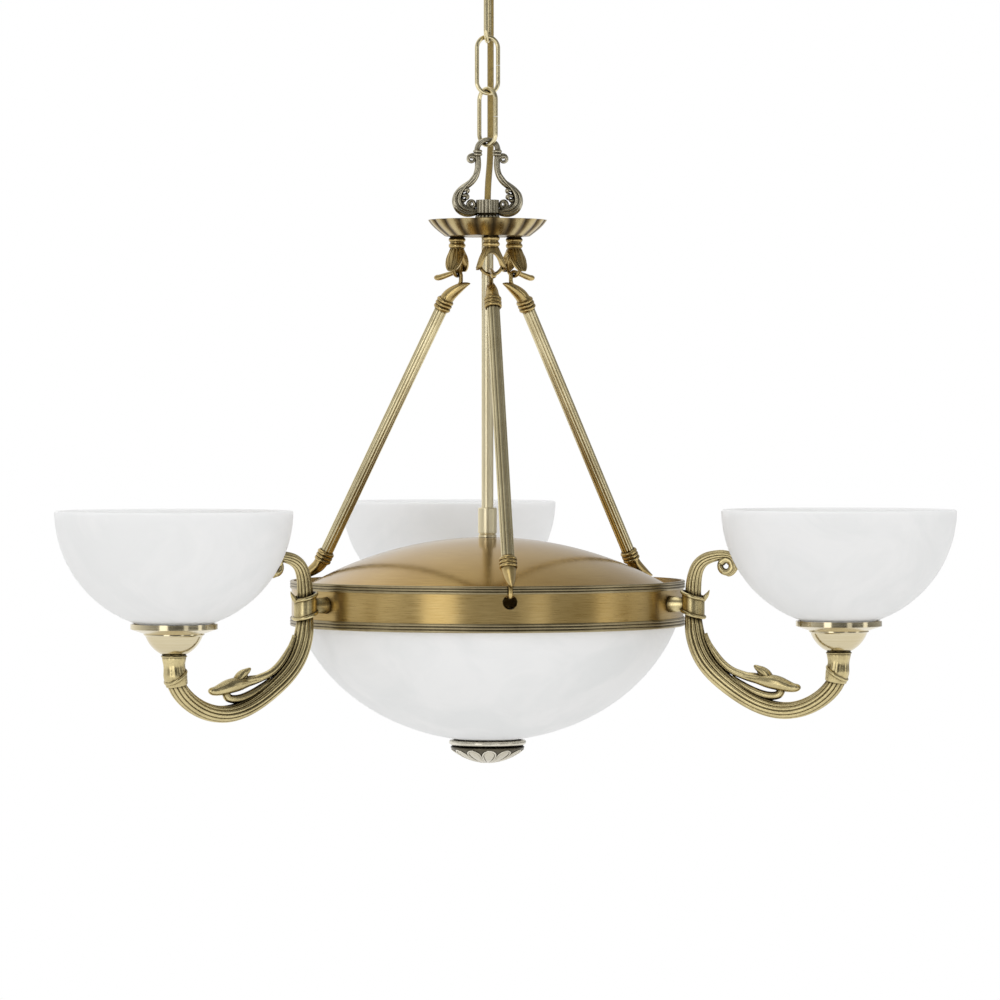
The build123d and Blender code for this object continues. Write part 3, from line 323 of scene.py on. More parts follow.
def plain_finish(name, colours, roughness, metallic, grain_mm, bump):
    """Finish with a fine mottle and a matching grain."""
    material, tree, shader, place = new_material(name)
    mottle = add(tree, "ShaderNodeTexNoise", {"Vector": place, "Scale": per_mm(grain_mm), "Detail": 3.0})
    tint = add(tree, "ShaderNodeValToRGB", {"Fac": mottle.outputs["Fac"]},
               stops=[(0.35, colours[0]), (0.65, colours[1])])
    tree.links.new(tint.outputs["Color"], shader.inputs["Base Color"])
    shader.inputs["Roughness"].default_value = roughness
    shader.inputs["Metallic"].default_value = metallic
    grain = add(tree, "ShaderNodeBump",
                {"Strength": bump, "Distance": 0.0002, "Height": mottle.outputs["Fac"]})
    tree.links.new(grain.outputs["Normal"], shader.inputs["Normal"])
    return material


zinc_steel = plain_finish("zinc_plated_steel", ("#A9A79F", "#C4C2BA"), 0.34, 1.0, 9, 0.05)
ceramic = plain_finish("glazed_ceramic", ("#ECE9E2", "#F2F0EA"), 0.18, 0.0, 30, 0.02)
moulded = plain_finish("moulded_nylon", ("#E2DFD6", "#EAE7DF"), 0.5, 0.0, 6, 0.05)
felt = plain_finish("wool_felt", ("#CFC9BA", "#E0DBCD"), 0.95, 0.0, 1.2, 0.5)
print("finishes inside ready")

# %% [markdown]
# Each CAD piece now takes its finish. Its mesh comes as loose triangles, so a small Geometry Nodes tree
# joins them and shades them smooth except at real corners. Corners could be marked by hand, but the tree
# finds them by their angle, on all pieces alike, and the CAD mesh itself isn't touched.

# %% Smooth shading tree
SAME_POINT = 1e-6
CORNER = radians(32)
smooth_tree = bpy.data.node_groups.new("joined_and_smooth", "GeometryNodeTree")
smooth_tree.interface.new_socket("Geometry", in_out="INPUT", socket_type="NodeSocketGeometry")
corner_input = smooth_tree.interface.new_socket("Corner", in_out="INPUT", socket_type="NodeSocketFloat")
corner_input.default_value = CORNER
smooth_tree.interface.new_socket("Geometry", in_out="OUTPUT", socket_type="NodeSocketGeometry")
way_in = add(smooth_tree, "NodeGroupInput")
joined = add(smooth_tree, "GeometryNodeMergeByDistance",
             {"Geometry": way_in.outputs["Geometry"], "Distance": SAME_POINT})
bend = add(smooth_tree, "GeometryNodeInputMeshEdgeAngle")
is_corner = add(smooth_tree, "FunctionNodeCompare",
                {0: bend.outputs["Unsigned Angle"], 1: way_in.outputs["Corner"]}, operation="GREATER_THAN")
soft = add(smooth_tree, "GeometryNodeSetShadeSmooth", {"Geometry": joined.outputs[0]}, domain="FACE")
crisp = add(smooth_tree, "GeometryNodeSetShadeSmooth", {
    "Geometry": soft.outputs[0], "Selection": is_corner.outputs[0], "Shade Smooth": False,
}, domain="EDGE")
add(smooth_tree, "NodeGroupOutput", {"Geometry": crisp.outputs[0]})
print("smooth shading tree ready")

# %% [markdown]
# Single pieces take their finish by name. Pieces that come in threes, such as links, rods and arms, share
# the start of their names, so one entry serves the whole family and no list of all pieces is needed.

# %% Finishes on the CAD pieces
finish_of = {
    "ceiling_bracket": zinc_steel, "canopy": turned_brass, "canopy_locknut": zinc_steel, "cord_bush": moulded,
    "terminal_block": moulded, "crown_nipple": zinc_steel, "hanger_nuts": zinc_steel, "stem_tube": stem_brass_painted_highlight,
    "stem_sleeve": stem_brass_painted_highlight, "dome": dome_brass, "ring_band": band_brass, "upper_trim": trim_brass,
    "lower_trim": trim_brass, "spider": zinc_steel, "centre_rod": zinc_steel, "rod_nuts": zinc_steel,
    "glass_bowl": bowl_glass_painted_light, "bowl_felt": felt, "finial": silvery_brass, "bowl_lampholders": ceramic,
    "bowl_bulbs": bulb_glass, "arm_nuts": zinc_steel, "shade_rings": moulded, "lyre_loop": silvery_brass,
    "dish": dish_brass, "canopy_loop": cast_brass, "power_cord": moulded,
}
family_finish = {
    "chain_link": rod_brass, "hanger": warm_brass, "rod": rod_brass, "rod_top_hook": warm_brass,
    "rod_bottom_hook": warm_brass, "arm": cast_brass, "cup": turned_brass, "shade": shade_glass,
    "lampholder": ceramic, "bulb": bulb_glass,
}
for name, piece in nodes.items():
    finish = finish_of.get(name)
    if finish is None:
        family = max((key for key in family_finish if name.startswith(key)), key=len)
        finish = family_finish[family]
    piece.data.materials.clear()
    piece.data.materials.append(finish)
    smoothing = piece.modifiers.new("joined_and_smooth", "NODES")
    smoothing.node_group = smooth_tree
print("finished", len(nodes), "pieces")

# %% [markdown]
# The cord has a woven cover, a gold-brown braid with a soft sheen and no mirror. A picture could be wrapped
# round it, but a braid is only two families of threads that cross. A brick pattern, turned by 45 degrees on
# the tube's own UV map, draws them at any length.

# %% Braided cord finish
BRAID_MM = 1.6
braid, braid_tree, braid_shader, _ = new_material("braided_cord")
cord_uv = add(braid_tree, "ShaderNodeUVMap", uv_map="along").outputs["UV"]
braid_map = add(braid_tree, "ShaderNodeMapping", {"Vector": cord_uv, "Rotation": (0, 0, radians(45))})
threads = add(braid_tree, "ShaderNodeTexBrick", {
    "Vector": braid_map.outputs[0], "Scale": per_mm(BRAID_MM), "Color1": hex_colour("#B39A50"),
    "Color2": hex_colour("#A08846"), "Mortar": hex_colour("#6B5829"), "Mortar Size": 0.06, "Brick Width": 0.9,
    "Row Height": 0.45,
})
braid_tree.links.new(threads.outputs["Color"], braid_shader.inputs["Base Color"])
braid_shader.inputs["Roughness"].default_value = 0.6
braid_shader.inputs["Sheen Weight"].default_value = 0.25
weave = add(braid_tree, "ShaderNodeBump",
            {"Strength": 0.4, "Distance": 0.0003, "Height": threads.outputs["Fac"]}, invert=True)
braid_tree.links.new(weave.outputs["Normal"], braid_shader.inputs["Normal"])
print("braid every", BRAID_MM, "mm")

# %% [markdown]
# The cord leaves the canopy, runs straight down behind the chain and bends forward into the hub of the lyre
# loop. Its line could be a chain of straight pieces with rounded corners. One NURBS curve, drawn by the same
# points as the CAD tube, is smoother, and the tubes follow points that are read from it.

# %% Cord line
HUB_TOP = -0.2326
CORD_ASIDE = (0.004, 0.0136)
CORD_TOP = -0.034
control = [
    *((*CORD_ASIDE, level) for level in (CORD_TOP, -0.11, HUB_TOP + 0.064, HUB_TOP + 0.036)),
    (0.0, 0.0, HUB_TOP + 0.008),
    (0.0, 0.0, HUB_TOP - 0.008),
]
line_data = bpy.data.curves.new("cord_line", "CURVE")
line_data.dimensions = "3D"
line_data.resolution_u = 24
spline = line_data.splines.new("NURBS")
spline.points.add(len(control) - 1)
for point, place in zip(spline.points, control):
    point.co = (*place, 1)
spline.order_u = 3
spline.use_endpoint_u = True
line_object = bpy.data.objects.new("cord_line", line_data)
scene.collection.objects.link(line_object)
line_mesh = bpy.data.meshes.new_from_object(line_object.evaluated_get(bpy.context.evaluated_depsgraph_get()))
line = [vertex.co.copy() for vertex in line_mesh.vertices]
bpy.data.objects.remove(line_object)
whole_length = sum((b - a).length for a, b in zip(line, line[1:]))
print("cord line of", len(line), "points,", round(whole_length, 4), "m")

# %% [markdown]
# The cord is limp and swings with the chain. One tube would span five bodies, so it is made in four lengths
# that meet at the middle of each link, and each length crosses one joint only.

# %% Where the cord is cut
hinge_levels = [joint["pos_m"][2] for joint in frame["joints"]]
cuts = [line[0].z + SAME_POINT]
cuts += [(upper + lower) / 2 for upper, lower in zip(hinge_levels, hinge_levels[1:])]
cuts += [line[-1].z - SAME_POINT]


def part_of_line(high, low):
    """Points of the cord's line between two levels, with its ends exactly on them."""
    found = []
    for first, second in zip(line, line[1:]):
        for level in (high, low):
            if first.z > level > second.z:
                found.append(first.lerp(second, (first.z - level) / (first.z - second.z)))
        if low < second.z < high:
            found.append(second)
    if line[0].z <= high:
        found.insert(0, line[0])
    return sorted(found, key=lambda point: -point.z)


print("cord is cut at", [round(level, 4) for level in cuts])

# %% Tube with a map for the braid
CORD_RADIUS = 0.0026
CORD_SIDES = 16


def cord_tube(name, path, start):
    """Tube along a path with a UV map in metres: round the cord and along it."""
    mesh = bpy.data.meshes.new(name)
    build = bmesh.new()
    uv = build.loops.layers.uv.new("along")
    rings = []
    for number, point in enumerate(path):
        before, after = path[max(number - 1, 0)], path[min(number + 1, len(path) - 1)]
        tangent = (after - before).normalized()
        side = tangent.cross(Vector((0, 1, 0))).normalized()
        up = side.cross(tangent)
        turns = [2 * pi * k / CORD_SIDES for k in range(CORD_SIDES)]
        rings.append([
            build.verts.new(point + (side * cos(turn) + up * sin(turn)) * CORD_RADIUS) for turn in turns
        ])
    travelled = start
    for number in range(len(path) - 1):
        step = (path[number + 1] - path[number]).length
        for k in range(CORD_SIDES):
            near, far, beside = rings[number], rings[number + 1], (k + 1) % CORD_SIDES
            face = build.faces.new([near[k], far[k], far[beside], near[beside]])
            face.smooth = True
            for loop, (side_number, run) in zip(face.loops, ((k, 0), (k, step), (k + 1, step), (k + 1, 0))):
                loop[uv].uv = (side_number / CORD_SIDES * 2 * pi * CORD_RADIUS, travelled + run)
        travelled += step
    build.faces.new(rings[0][::-1])
    build.faces.new(rings[-1])
    bmesh.ops.recalc_face_normals(build, faces=build.faces)
    build.to_mesh(mesh)
    build.free()
    piece = bpy.data.objects.new(name, mesh)
    scene.collection.objects.link(piece)
    return piece, travelled


print("cord radius", CORD_RADIUS, "m with", CORD_SIDES, "sides")

# %% Cord lengths across the joints
run = 0.0
for number in range(len(hinge_levels)):
    path = part_of_line(cuts[number], cuts[number + 1])
    piece, run = cord_tube(f"cord_length_{number + 1}", path, run)
    piece.data.materials.append(braid)
    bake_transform(piece)
    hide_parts("power_cord")

# %% [markdown]
# Cast ornaments that a chaser sharpens by hand: leaf, bud and tendril inside each arm, the scrolls of the
# lyre, the veins of the hangers, the beaks of the hooks and the petals of the finial. They could be
# sculpted, but bars that swell and shrink along a curve give the same look from a few points. Each is made
# once and repeated round the lamp's axis, so the first Geometry Nodes tree only makes copies. The second one
# sweeps a round profile along curves, whose points carry the thickness, and hands the bars to the first.

# %% Tree for copies
copies_tree = bpy.data.node_groups.new("copies_round_the_axis", "GeometryNodeTree")


def tree_inputs(tree, *sockets):
    """Geometry in and out of a tree, with its named inputs; gives the identifier of each."""
    tree.interface.new_socket("Geometry", in_out="INPUT", socket_type="NodeSocketGeometry")
    named = {}
    for label, kind in sockets:
        socket = tree.interface.new_socket(label, in_out="INPUT", socket_type="NodeSocket" + kind)
        named[label] = socket.identifier
    tree.interface.new_socket("Geometry", in_out="OUTPUT", socket_type="NodeSocketGeometry")
    return named


copies_inputs = tree_inputs(copies_tree, ("Copies", "Int"), ("First angle", "Float"), ("Finish", "Material"))
source_in = add(copies_tree, "NodeGroupInput")
spots = add(copies_tree, "GeometryNodePoints", {"Count": source_in.outputs["Copies"]})
copy_number = add(copies_tree, "GeometryNodeInputIndex")
copy_share = add(copies_tree, "ShaderNodeMath",
                 {0: copy_number.outputs[0], 1: source_in.outputs["Copies"]}, operation="DIVIDE")
copy_turn = add(copies_tree, "ShaderNodeMath", {
    0: copy_share.outputs[0], 1: 2 * pi, 2: source_in.outputs["First angle"],
}, operation="MULTIPLY_ADD")
spin = add(copies_tree, "FunctionNodeAxisAngleToRotation", {"Axis": (0, 0, 1), "Angle": copy_turn.outputs[0]})
ring = add(copies_tree, "GeometryNodeInstanceOnPoints", {
    "Points": spots.outputs[0], "Instance": source_in.outputs["Geometry"], "Rotation": spin.outputs[0],
})
real = add(copies_tree, "GeometryNodeRealizeInstances", {"Geometry": ring.outputs[0]})
even = add(copies_tree, "GeometryNodeSetShadeSmooth", {"Geometry": real.outputs[0]}, domain="FACE")
painted = add(copies_tree, "GeometryNodeSetMaterial",
              {"Geometry": even.outputs[0], "Material": source_in.outputs["Finish"]})
add(copies_tree, "NodeGroupOutput", {"Geometry": painted.outputs[0]})
print("tree for copies ready")

# %% Tree for limbs
limb_tree = bpy.data.node_groups.new("cast_limbs", "GeometryNodeTree")
limb_inputs = tree_inputs(limb_tree, ("Copies", "Int"), ("First angle", "Float"), ("Finish", "Material"),
                          ("Sides", "Int"))
lines_in = add(limb_tree, "NodeGroupInput")
profile = add(limb_tree, "GeometryNodeCurvePrimitiveCircle",
              {"Resolution": lines_in.outputs["Sides"], "Radius": 1.0})
thickness = add(limb_tree, "GeometryNodeInputRadius")
bars = add(limb_tree, "GeometryNodeCurveToMesh", {
    "Curve": lines_in.outputs["Geometry"], "Profile Curve": profile.outputs["Curve"],
    "Scale": thickness.outputs[0], "Fill Caps": True,
})
repeated = add(limb_tree, "GeometryNodeGroup", node_tree=copies_tree)
limb_tree.links.new(bars.outputs[0], repeated.inputs["Geometry"])
for label in ("Copies", "First angle", "Finish"):
    limb_tree.links.new(lines_in.outputs[label], repeated.inputs[label])
add(limb_tree, "NodeGroupOutput", {"Geometry": repeated.outputs[0]})
print("tree for limbs ready")

# %% Making pieces with the trees


def plain_piece(name, data, tree, settings):
    """Plain mesh piece on the lamp, made by a tree from curves or a mesh; no modifier stays on it."""
    source = bpy.data.objects.new(name + "_source", data)
    scene.collection.objects.link(source)
    modifier = source.modifiers.new(tree.name, "NODES")
    modifier.node_group = tree
    for identifier, value in settings.items():
        modifier[identifier] = value
    mesh = bpy.data.meshes.new_from_object(source.evaluated_get(bpy.context.evaluated_depsgraph_get()))
    mesh.name = name
    bpy.data.objects.remove(source)
    piece = bpy.data.objects.new(name, mesh)
    scene.collection.objects.link(piece)
    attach(piece, "lamp")
    print(name, len(mesh.polygons), "faces")
    return piece


def cast_limbs(name, limbs, copies, first, finish, sides=16):
    """Bars through (reach, aside, level, radius) points in millimetres, repeated round the axis."""
    data = bpy.data.curves.new(name, "CURVE")
    data.dimensions = "3D"
    data.resolution_u = 10
    for limb in limbs:
        limb_line = data.splines.new("NURBS")
        limb_line.points.add(len(limb) - 1)
        for point, (reach, aside, level, radius) in zip(limb_line.points, limb):
            point.co = (reach / 1000, aside / 1000, level / 1000, 1)
            point.radius = radius / 1000
        limb_line.order_u = 3
        limb_line.use_endpoint_u = True
    return plain_piece(name, data, limb_tree, {
        limb_inputs["Copies"]: copies, limb_inputs["First angle"]: radians(first),
        limb_inputs["Finish"]: finish, limb_inputs["Sides"]: sides,
    })


print("ornaments can be made")

# %% [markdown]
# On the arms, the sprig is a stem that peels off the reeds, swells into a blunt leaf and throws a bud
# upwards; a tendril comes back under it to the arm. The end of each arm is rolled up into a closed eye.
# Both follow the CAD arm's own lines and lie over its slimmer bars.

# %% Sprigs
HUB_LEVEL = HUB_TOP * 1000
RING_TOP = HUB_LEVEL - 303.85
ARM_LINE = 176.6
ARM_BOTTOM = RING_TOP - 98.7


def beside_arm(outline):
    """Points of an outline, given from the arm's line and its lowest level."""
    return [(ARM_LINE + side, 0, ARM_BOTTOM + rise, radius) for side, rise, radius in outline]


leaf_line = beside_arm([(10, 59, 0.6), (15.5, 47, 2.2), (29, 31.5, 2.7), (45, 26.2, 3.0), (54, 24.0, 3.8),
                        (62, 22.8, 5.6), (71, 21.4, 5.9), (78, 19.2, 4.9), (84, 17.8, 3.6), (88.5, 18.2, 2.8),
                        (89.6, 18.3, 1.2)])
bud_line = beside_arm([(66, 22, 3.0), (64, 25.4, 3.4), (61.5, 28.6, 3.6), (58.2, 30.8, 3.4),
                       (55.0, 32.2, 2.6), (52.4, 33.8, 1.8), (51.2, 34.6, 0.8)])
tendril_line = beside_arm([(30, 26, 1.0), (38, 21.5, 2.6), (46, 16.5, 3.2), (58, 11.8, 3.4), (67, 10.8, 3.3),
                           (74.5, 13.0, 3.1), (74, 19, 2.6)])
cast_limbs("leaf_sprigs", [leaf_line, bud_line, tendril_line], 3, 90, cast_brass)

# %% Volute eyes
VOLUTE_REACH = 204.4
VOLUTE_LEVEL = RING_TOP + 13.8
EYE_RADIUS = 5.2
EYE_START = 150
EYE_END = -256
EYE_STEP = -27
EYE_BAR = 3.6
EYE_TAPER = 0.0036
eye_line = [
    (VOLUTE_REACH + EYE_RADIUS * cos(radians(turn)), 0, VOLUTE_LEVEL + EYE_RADIUS * sin(radians(turn)),
     EYE_BAR - EYE_TAPER * (EYE_START - turn))
    for turn in range(EYE_START, EYE_END, EYE_STEP)
]
cast_limbs("volute_eyes", [eye_line], 3, 90, cast_brass)

# %% [markdown]
# The lyre is dressed as an acanthus leaf: strands run up the outside of each bulge and end in lobes, a
# scroll stands beside the hub and another one under each collar. It lies in one plane, so half of it, turned
# by half a turn, gives the other half. Strands lie on the front and on the back.

# %% Scrolls of the lyre
LYRE_TOP = HUB_LEVEL + 48.0
SCROLL_STEPS = 14
SCROLL_TAPER = 0.45


def scroll(middle_x, drop, start, wide, tight, thick):
    """Spiral bar of almost one and a half turns, from a wide start to a tight eye."""
    points = []
    for step in range(SCROLL_STEPS + 1):
        part = step / SCROLL_STEPS
        angle = radians(start[0] + (start[1] - start[0]) * part)
        radius = wide + (tight - wide) * part
        points.append((middle_x + radius * cos(angle), 0, LYRE_TOP - drop + radius * sin(angle),
                       thick * (1 - SCROLL_TAPER * part)))
    return points


lyre_limbs = [
    scroll(12.6, 15.4, (190, -330), 4.2, 1.0, 1.6),
    scroll(12.6, 51.4, (-70, 440), 3.9, 0.9, 1.4),
]
print(len(lyre_limbs), "scrolls in half of the lyre")

# %% Leaves of the lyre
STRAND_ASIDE = 1.9
STRAND_THIN = 0.7
STRAND_SWELL = 1.0
strands = [
    [(10.2, 27.5), (13.5, 33), (18.5, 37.4), (22.2, 42.5), (23.6, 48), (21.4, 53.4), (16.5, 56.6),
     (11, 56.6)],
    [(17.6, 37), (22.8, 39.6), (26.4, 44.6), (26.6, 50.4), (23.2, 55.4), (17, 58)],
    [(18.6, 40.8), (16.6, 39.4), (15.4, 41.0), (16.6, 42.6)],
    [(20.2, 45.0), (17.2, 44.0), (15.6, 46.0), (17.0, 47.6)],
]
for side in (-1, 1):
    for strand in strands:
        last = len(strand) - 1
        lyre_limbs.append([
            (x, side * STRAND_ASIDE, LYRE_TOP - drop,
             STRAND_THIN + STRAND_SWELL * sin(pi * (0.12 + 0.8 * number / last)))
            for number, (x, drop) in enumerate(strand)
        ])
cast_limbs("lyre_leaves", lyre_limbs, 2, 0, silvery_brass, sides=10)

# %% [markdown]
# Each hanger is a tulip with two petals, and veins run down the petals to their tips. Each rod ends in a
# hook casting that looks like a bird's beak. The beak sits on the rod's own line, so its points are given
# along that line, from the bar that the hook hangs on, and across it: towards the lamp's axis at the top and
# away from it at the foot. The top hook's tongue runs outwards and a little down.

# %% Hanger veins
HANGER_CIRCLE = 26.6
COLLAR_BASE = HUB_LEVEL - 38.6
TULIP_LENGTH = 18.4
VEINS_CLOSE_FROM = 0.45
VEINS_CLOSE_BY = 0.9
VEIN_BAR = 0.95
VEIN_TAPER = 0.5
vein_shape = [(0.02, 5.2), (0.2, 6.6), (0.4, 8.6), (0.6, 10.0), (0.78, 11.1), (0.9, 11.8)]
veins = []
for petal in (90, -90):
    for lean in (-46, -24, 0, 24, 46):
        vein = []
        for run, reach in vein_shape:
            closing = max(run - VEINS_CLOSE_FROM, 0) / (1 - VEINS_CLOSE_FROM)
            spread = lean * (1 - VEINS_CLOSE_BY * closing)
            angle = radians(petal + spread)
            vein.append((HANGER_CIRCLE + reach * cos(angle), reach * sin(angle),
                         COLLAR_BASE - run * TULIP_LENGTH, VEIN_BAR - VEIN_TAPER * run))
        veins.append(vein)
cast_limbs("hanger_veins", veins, 3, 30, warm_brass, sides=8)

# %% Beaks and tongues of the hooks
ROD_TOP = Vector((HANGER_CIRCLE, 0, HUB_LEVEL - 60.4))
ROD_FOOT = Vector((156.45, 0, RING_TOP - 5.4))
rod_way = (ROD_FOOT - ROD_TOP).normalized()
rod_inward = Vector((rod_way.z, 0, -rod_way.x))
beak_shape = [(23, 0.0, 5.6), (18, 0.6, 5.5), (13, 2.8, 4.9), (8, 5.8, 4.0), (4, 8.8, 2.7), (1.2, 11.6, 1.3),
              (0.2, 13.0, 0.4)]
top_beak, foot_beak = [], []
for run, aside, radius in beak_shape:
    high = ROD_TOP + rod_way * run + rod_inward * aside
    low = ROD_FOOT - rod_way * run - rod_inward * aside
    top_beak.append((high.x, 0, high.z, radius))
    foot_beak.append((low.x, 0, low.z, radius))
tongue = [(ROD_TOP.x + side, 0, ROD_TOP.z + rise, radius) for side, rise, radius in (
    (0.9, 3.2, 1.75), (4.5, 2.2, 1.95), (9, 0.8, 2.2), (13, -0.5, 2.4), (16.4, -1.3, 2.4), (18.8, -1.0, 2.2),
    (19.8, -0.6, 1.0))]
cast_limbs("hook_beaks", [top_beak, foot_beak, tongue], 3, 30, warm_brass)

# %% [markdown]
# The finial is a thin plate against the glass and a saucer with twelve tongue-shaped petals. Plate and
# saucer are turned on a lathe, so their outlines are spun. A petal is a patch that lies on the saucer and
# swells in its middle, with a raised rim. All twelve could be carved from one mesh, but one petal is easier
# to shape, and the copies tree sets twelve of them round the axis.

# %% Plate and saucer of the finial
FINIAL_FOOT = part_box("finial")[0][2] * 1000
LATHE_STEPS = 96
saucer_outline = [(29.0, 12.8), (29.6, 12.2), (28.8, 10.8), (25.2, 7.9), (19.4, 4.6), (12.8, 1.9), (6.4, 0.5),
                  (2.6, 0.0)]
plate_outline = [(27.2, 12.4), (28.2, 13.2), (30.0, 14.5), (30.8, 15.2), (30.8, 16.8), (30.2, 17.6),
                 (27.6, 18.0)]


def turned(name, outline):
    """Mesh spun round the axis from an outline of (radius, height) in millimetres, closed at both ends."""
    build = bmesh.new()
    turns = [2 * pi * k / LATHE_STEPS for k in range(LATHE_STEPS)]
    rings = []
    for radius, height in outline:
        level = (FINIAL_FOOT + height) / 1000
        rings.append([
            build.verts.new((radius * cos(turn) / 1000, radius * sin(turn) / 1000, level)) for turn in turns
        ])
    for upper, lower in zip(rings, rings[1:]):
        for k in range(LATHE_STEPS):
            build.faces.new((upper[k], upper[(k + 1) % LATHE_STEPS], lower[(k + 1) % LATHE_STEPS], lower[k]))
    build.faces.new(rings[0])
    build.faces.new(rings[-1])
    bmesh.ops.recalc_face_normals(build, faces=build.faces)
    mesh = bpy.data.meshes.new(name)
    build.to_mesh(mesh)
    build.free()
    return mesh


finial_saucer, finial_plate = (
    plain_piece(name, turned(name, outline), copies_tree, {
        copies_inputs["Copies"]: 1, copies_inputs["First angle"]: 0.0, copies_inputs["Finish"]: finish,
    })
    for name, outline, finish in (
        ("finial_saucer", saucer_outline, dark_brass), ("finial_plate", plate_outline, rim_brass))
)

# %% Petals of the finial
PETALS = 12
FIRST_PETAL = 27
ACROSS = 8
PETAL_SWELL = 1.0
PETAL_SUNK = 0.15
half_petal = [(5.0, 12.0), (9, 12.4), (14, 13.0), (19, 13.6), (23, 13.2), (26.0, 10.6), (27.8, 6.2),
              (28.4, 2.4)]


def saucer_height(radius):
    """Height of the saucer's underside at a radius."""
    for (wide, high), (narrow, low) in zip(saucer_outline[2:], saucer_outline[3:]):
        if narrow <= radius <= wide:
            return low + (high - low) * (radius - narrow) / (wide - narrow)
    return saucer_outline[2][1]


def on_saucer(radius, turn, lift):
    """Point in millimetres on the saucer at a radius and an angle, lifted off it by so much."""
    height = FINIAL_FOOT + saucer_height(radius) - lift
    return (radius * cos(radians(turn)), radius * sin(radians(turn)), height)


petal_mesh = bpy.data.meshes.new("finial_petal")
build = bmesh.new()
rows = []
for radius, half in half_petal:
    row = []
    for k in range(ACROSS + 1):
        share = 2 * k / ACROSS - 1
        spot = on_saucer(radius, half * share, PETAL_SWELL * (1 - share ** 2) - PETAL_SUNK)
        row.append(build.verts.new([v / 1000 for v in spot]))
    rows.append(row)
for inner, outer in zip(rows, rows[1:]):
    for k in range(ACROSS):
        build.faces.new((inner[k], inner[k + 1], outer[k + 1], outer[k]))
build.to_mesh(petal_mesh)
build.free()
petals = plain_piece("finial_petals", petal_mesh, copies_tree, {
    copies_inputs["Copies"]: PETALS, copies_inputs["First angle"]: radians(FIRST_PETAL),
    copies_inputs["Finish"]: petal_brass,
})

# %% Rims of the petals
PETAL_TIP = (28.6, 0)
RIM_LIFT = 0.1
RIM_BAR = 0.75
other_half = [(radius, -half) for radius, half in half_petal[::-1]]
rim_line = [
    (*on_saucer(radius, turn, RIM_LIFT), RIM_BAR) for radius, turn in (*half_petal, PETAL_TIP, *other_half)
]
petal_rims = cast_limbs("finial_petal_rims", [rim_line], PETALS, FIRST_PETAL, rim_brass, sides=8)
for piece in (finial_saucer, finial_plate, petals, petal_rims):
    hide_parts("finial")

# %% [markdown]
# Beads and threads are small shapes in rows: a row of beads at the foot of the hub, and the screw thread of
# each lampholder, drawn as one helix of a thin bar. A bead could be a ball, but a very short bar that swells
# and shrinks is one too, so no third tree is needed.

# %% Beads
BEAD_ROW = 8.3
BEAD_LEVEL = HUB_LEVEL - 13.8
BEAD_RADIUS = 1.6
BEAD_STEPS = 8
BEADS = 18
BEAD_POLE = 0.05
bead = []
for k in range(BEAD_STEPS + 1):
    turn = pi * k / BEAD_STEPS
    width = max(BEAD_RADIUS * sin(turn), BEAD_POLE)
    bead.append((BEAD_ROW, 0, BEAD_LEVEL + BEAD_RADIUS * cos(turn), width))
cast_limbs("hub_beads", [bead], BEADS, 0, silvery_brass, sides=12)

# %% Lampholder threads
HOLDER_REACH = 298.0
HOLDER_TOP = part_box("lampholder_rear")[1][2] * 1000
THREAD_RADIUS = 13.3
THREAD_PITCH = 3.2
THREAD_TURNS = 6
THREAD_DROP = 5.0
THREAD_BAR = 0.8
thread = [
    (HOLDER_REACH + THREAD_RADIUS * cos(radians(angle)), THREAD_RADIUS * sin(radians(angle)),
     HOLDER_TOP - THREAD_DROP - THREAD_PITCH * angle / 360, THREAD_BAR)
    for angle in range(0, 360 * THREAD_TURNS + 1, 20)
]
holder_threads = cast_limbs("lampholder_threads", [thread], 3, 90, ceramic, sides=8)

# %% [markdown]
# The stage is a wide pale floor below the lamp and a white world behind it, as in a product studio. A painted
# floor alone would end in a grey line where the world starts. So the camera and the mirrors see it glow
# white, less so right below the lamp, where its shadow falls, and all other light meets plain paint.

# %% Floor
FLOOR_DROP = 0.9
FLOOR_LEVEL = cad_box[0][2] - FLOOR_DROP
FLOOR_REACH = 9.0
FLOOR_CLOUD_MM = 2000 / 3
floor_mesh = bpy.data.meshes.new("studio_floor")
floor_mesh.from_pydata(
    [(x * FLOOR_REACH, y * FLOOR_REACH, FLOOR_LEVEL) for x, y in ((-1, -1), (1, -1), (1, 1), (-1, 1))],
    [], [(0, 1, 2, 3)])
floor = bpy.data.objects.new("studio_floor", floor_mesh)
scene.collection.objects.link(floor)
floor_paint, floor_tree, floor_shader, floor_place = new_material("pale_floor")
floor_cloud = add(floor_tree, "ShaderNodeTexNoise", {"Vector": floor_place, "Scale": per_mm(FLOOR_CLOUD_MM)})
floor_tint = add(floor_tree, "ShaderNodeValToRGB", {"Fac": floor_cloud.outputs["Fac"]},
                 stops=[(0.3, "#F2F2F1"), (0.7, "#F6F6F5")])
floor_tree.links.new(floor_tint.outputs["Color"], floor_shader.inputs["Base Color"])
floor_shader.inputs["Roughness"].default_value = 0.9
floor_mesh.materials.append(floor_paint)
print("floor", round(FLOOR_LEVEL, 3))

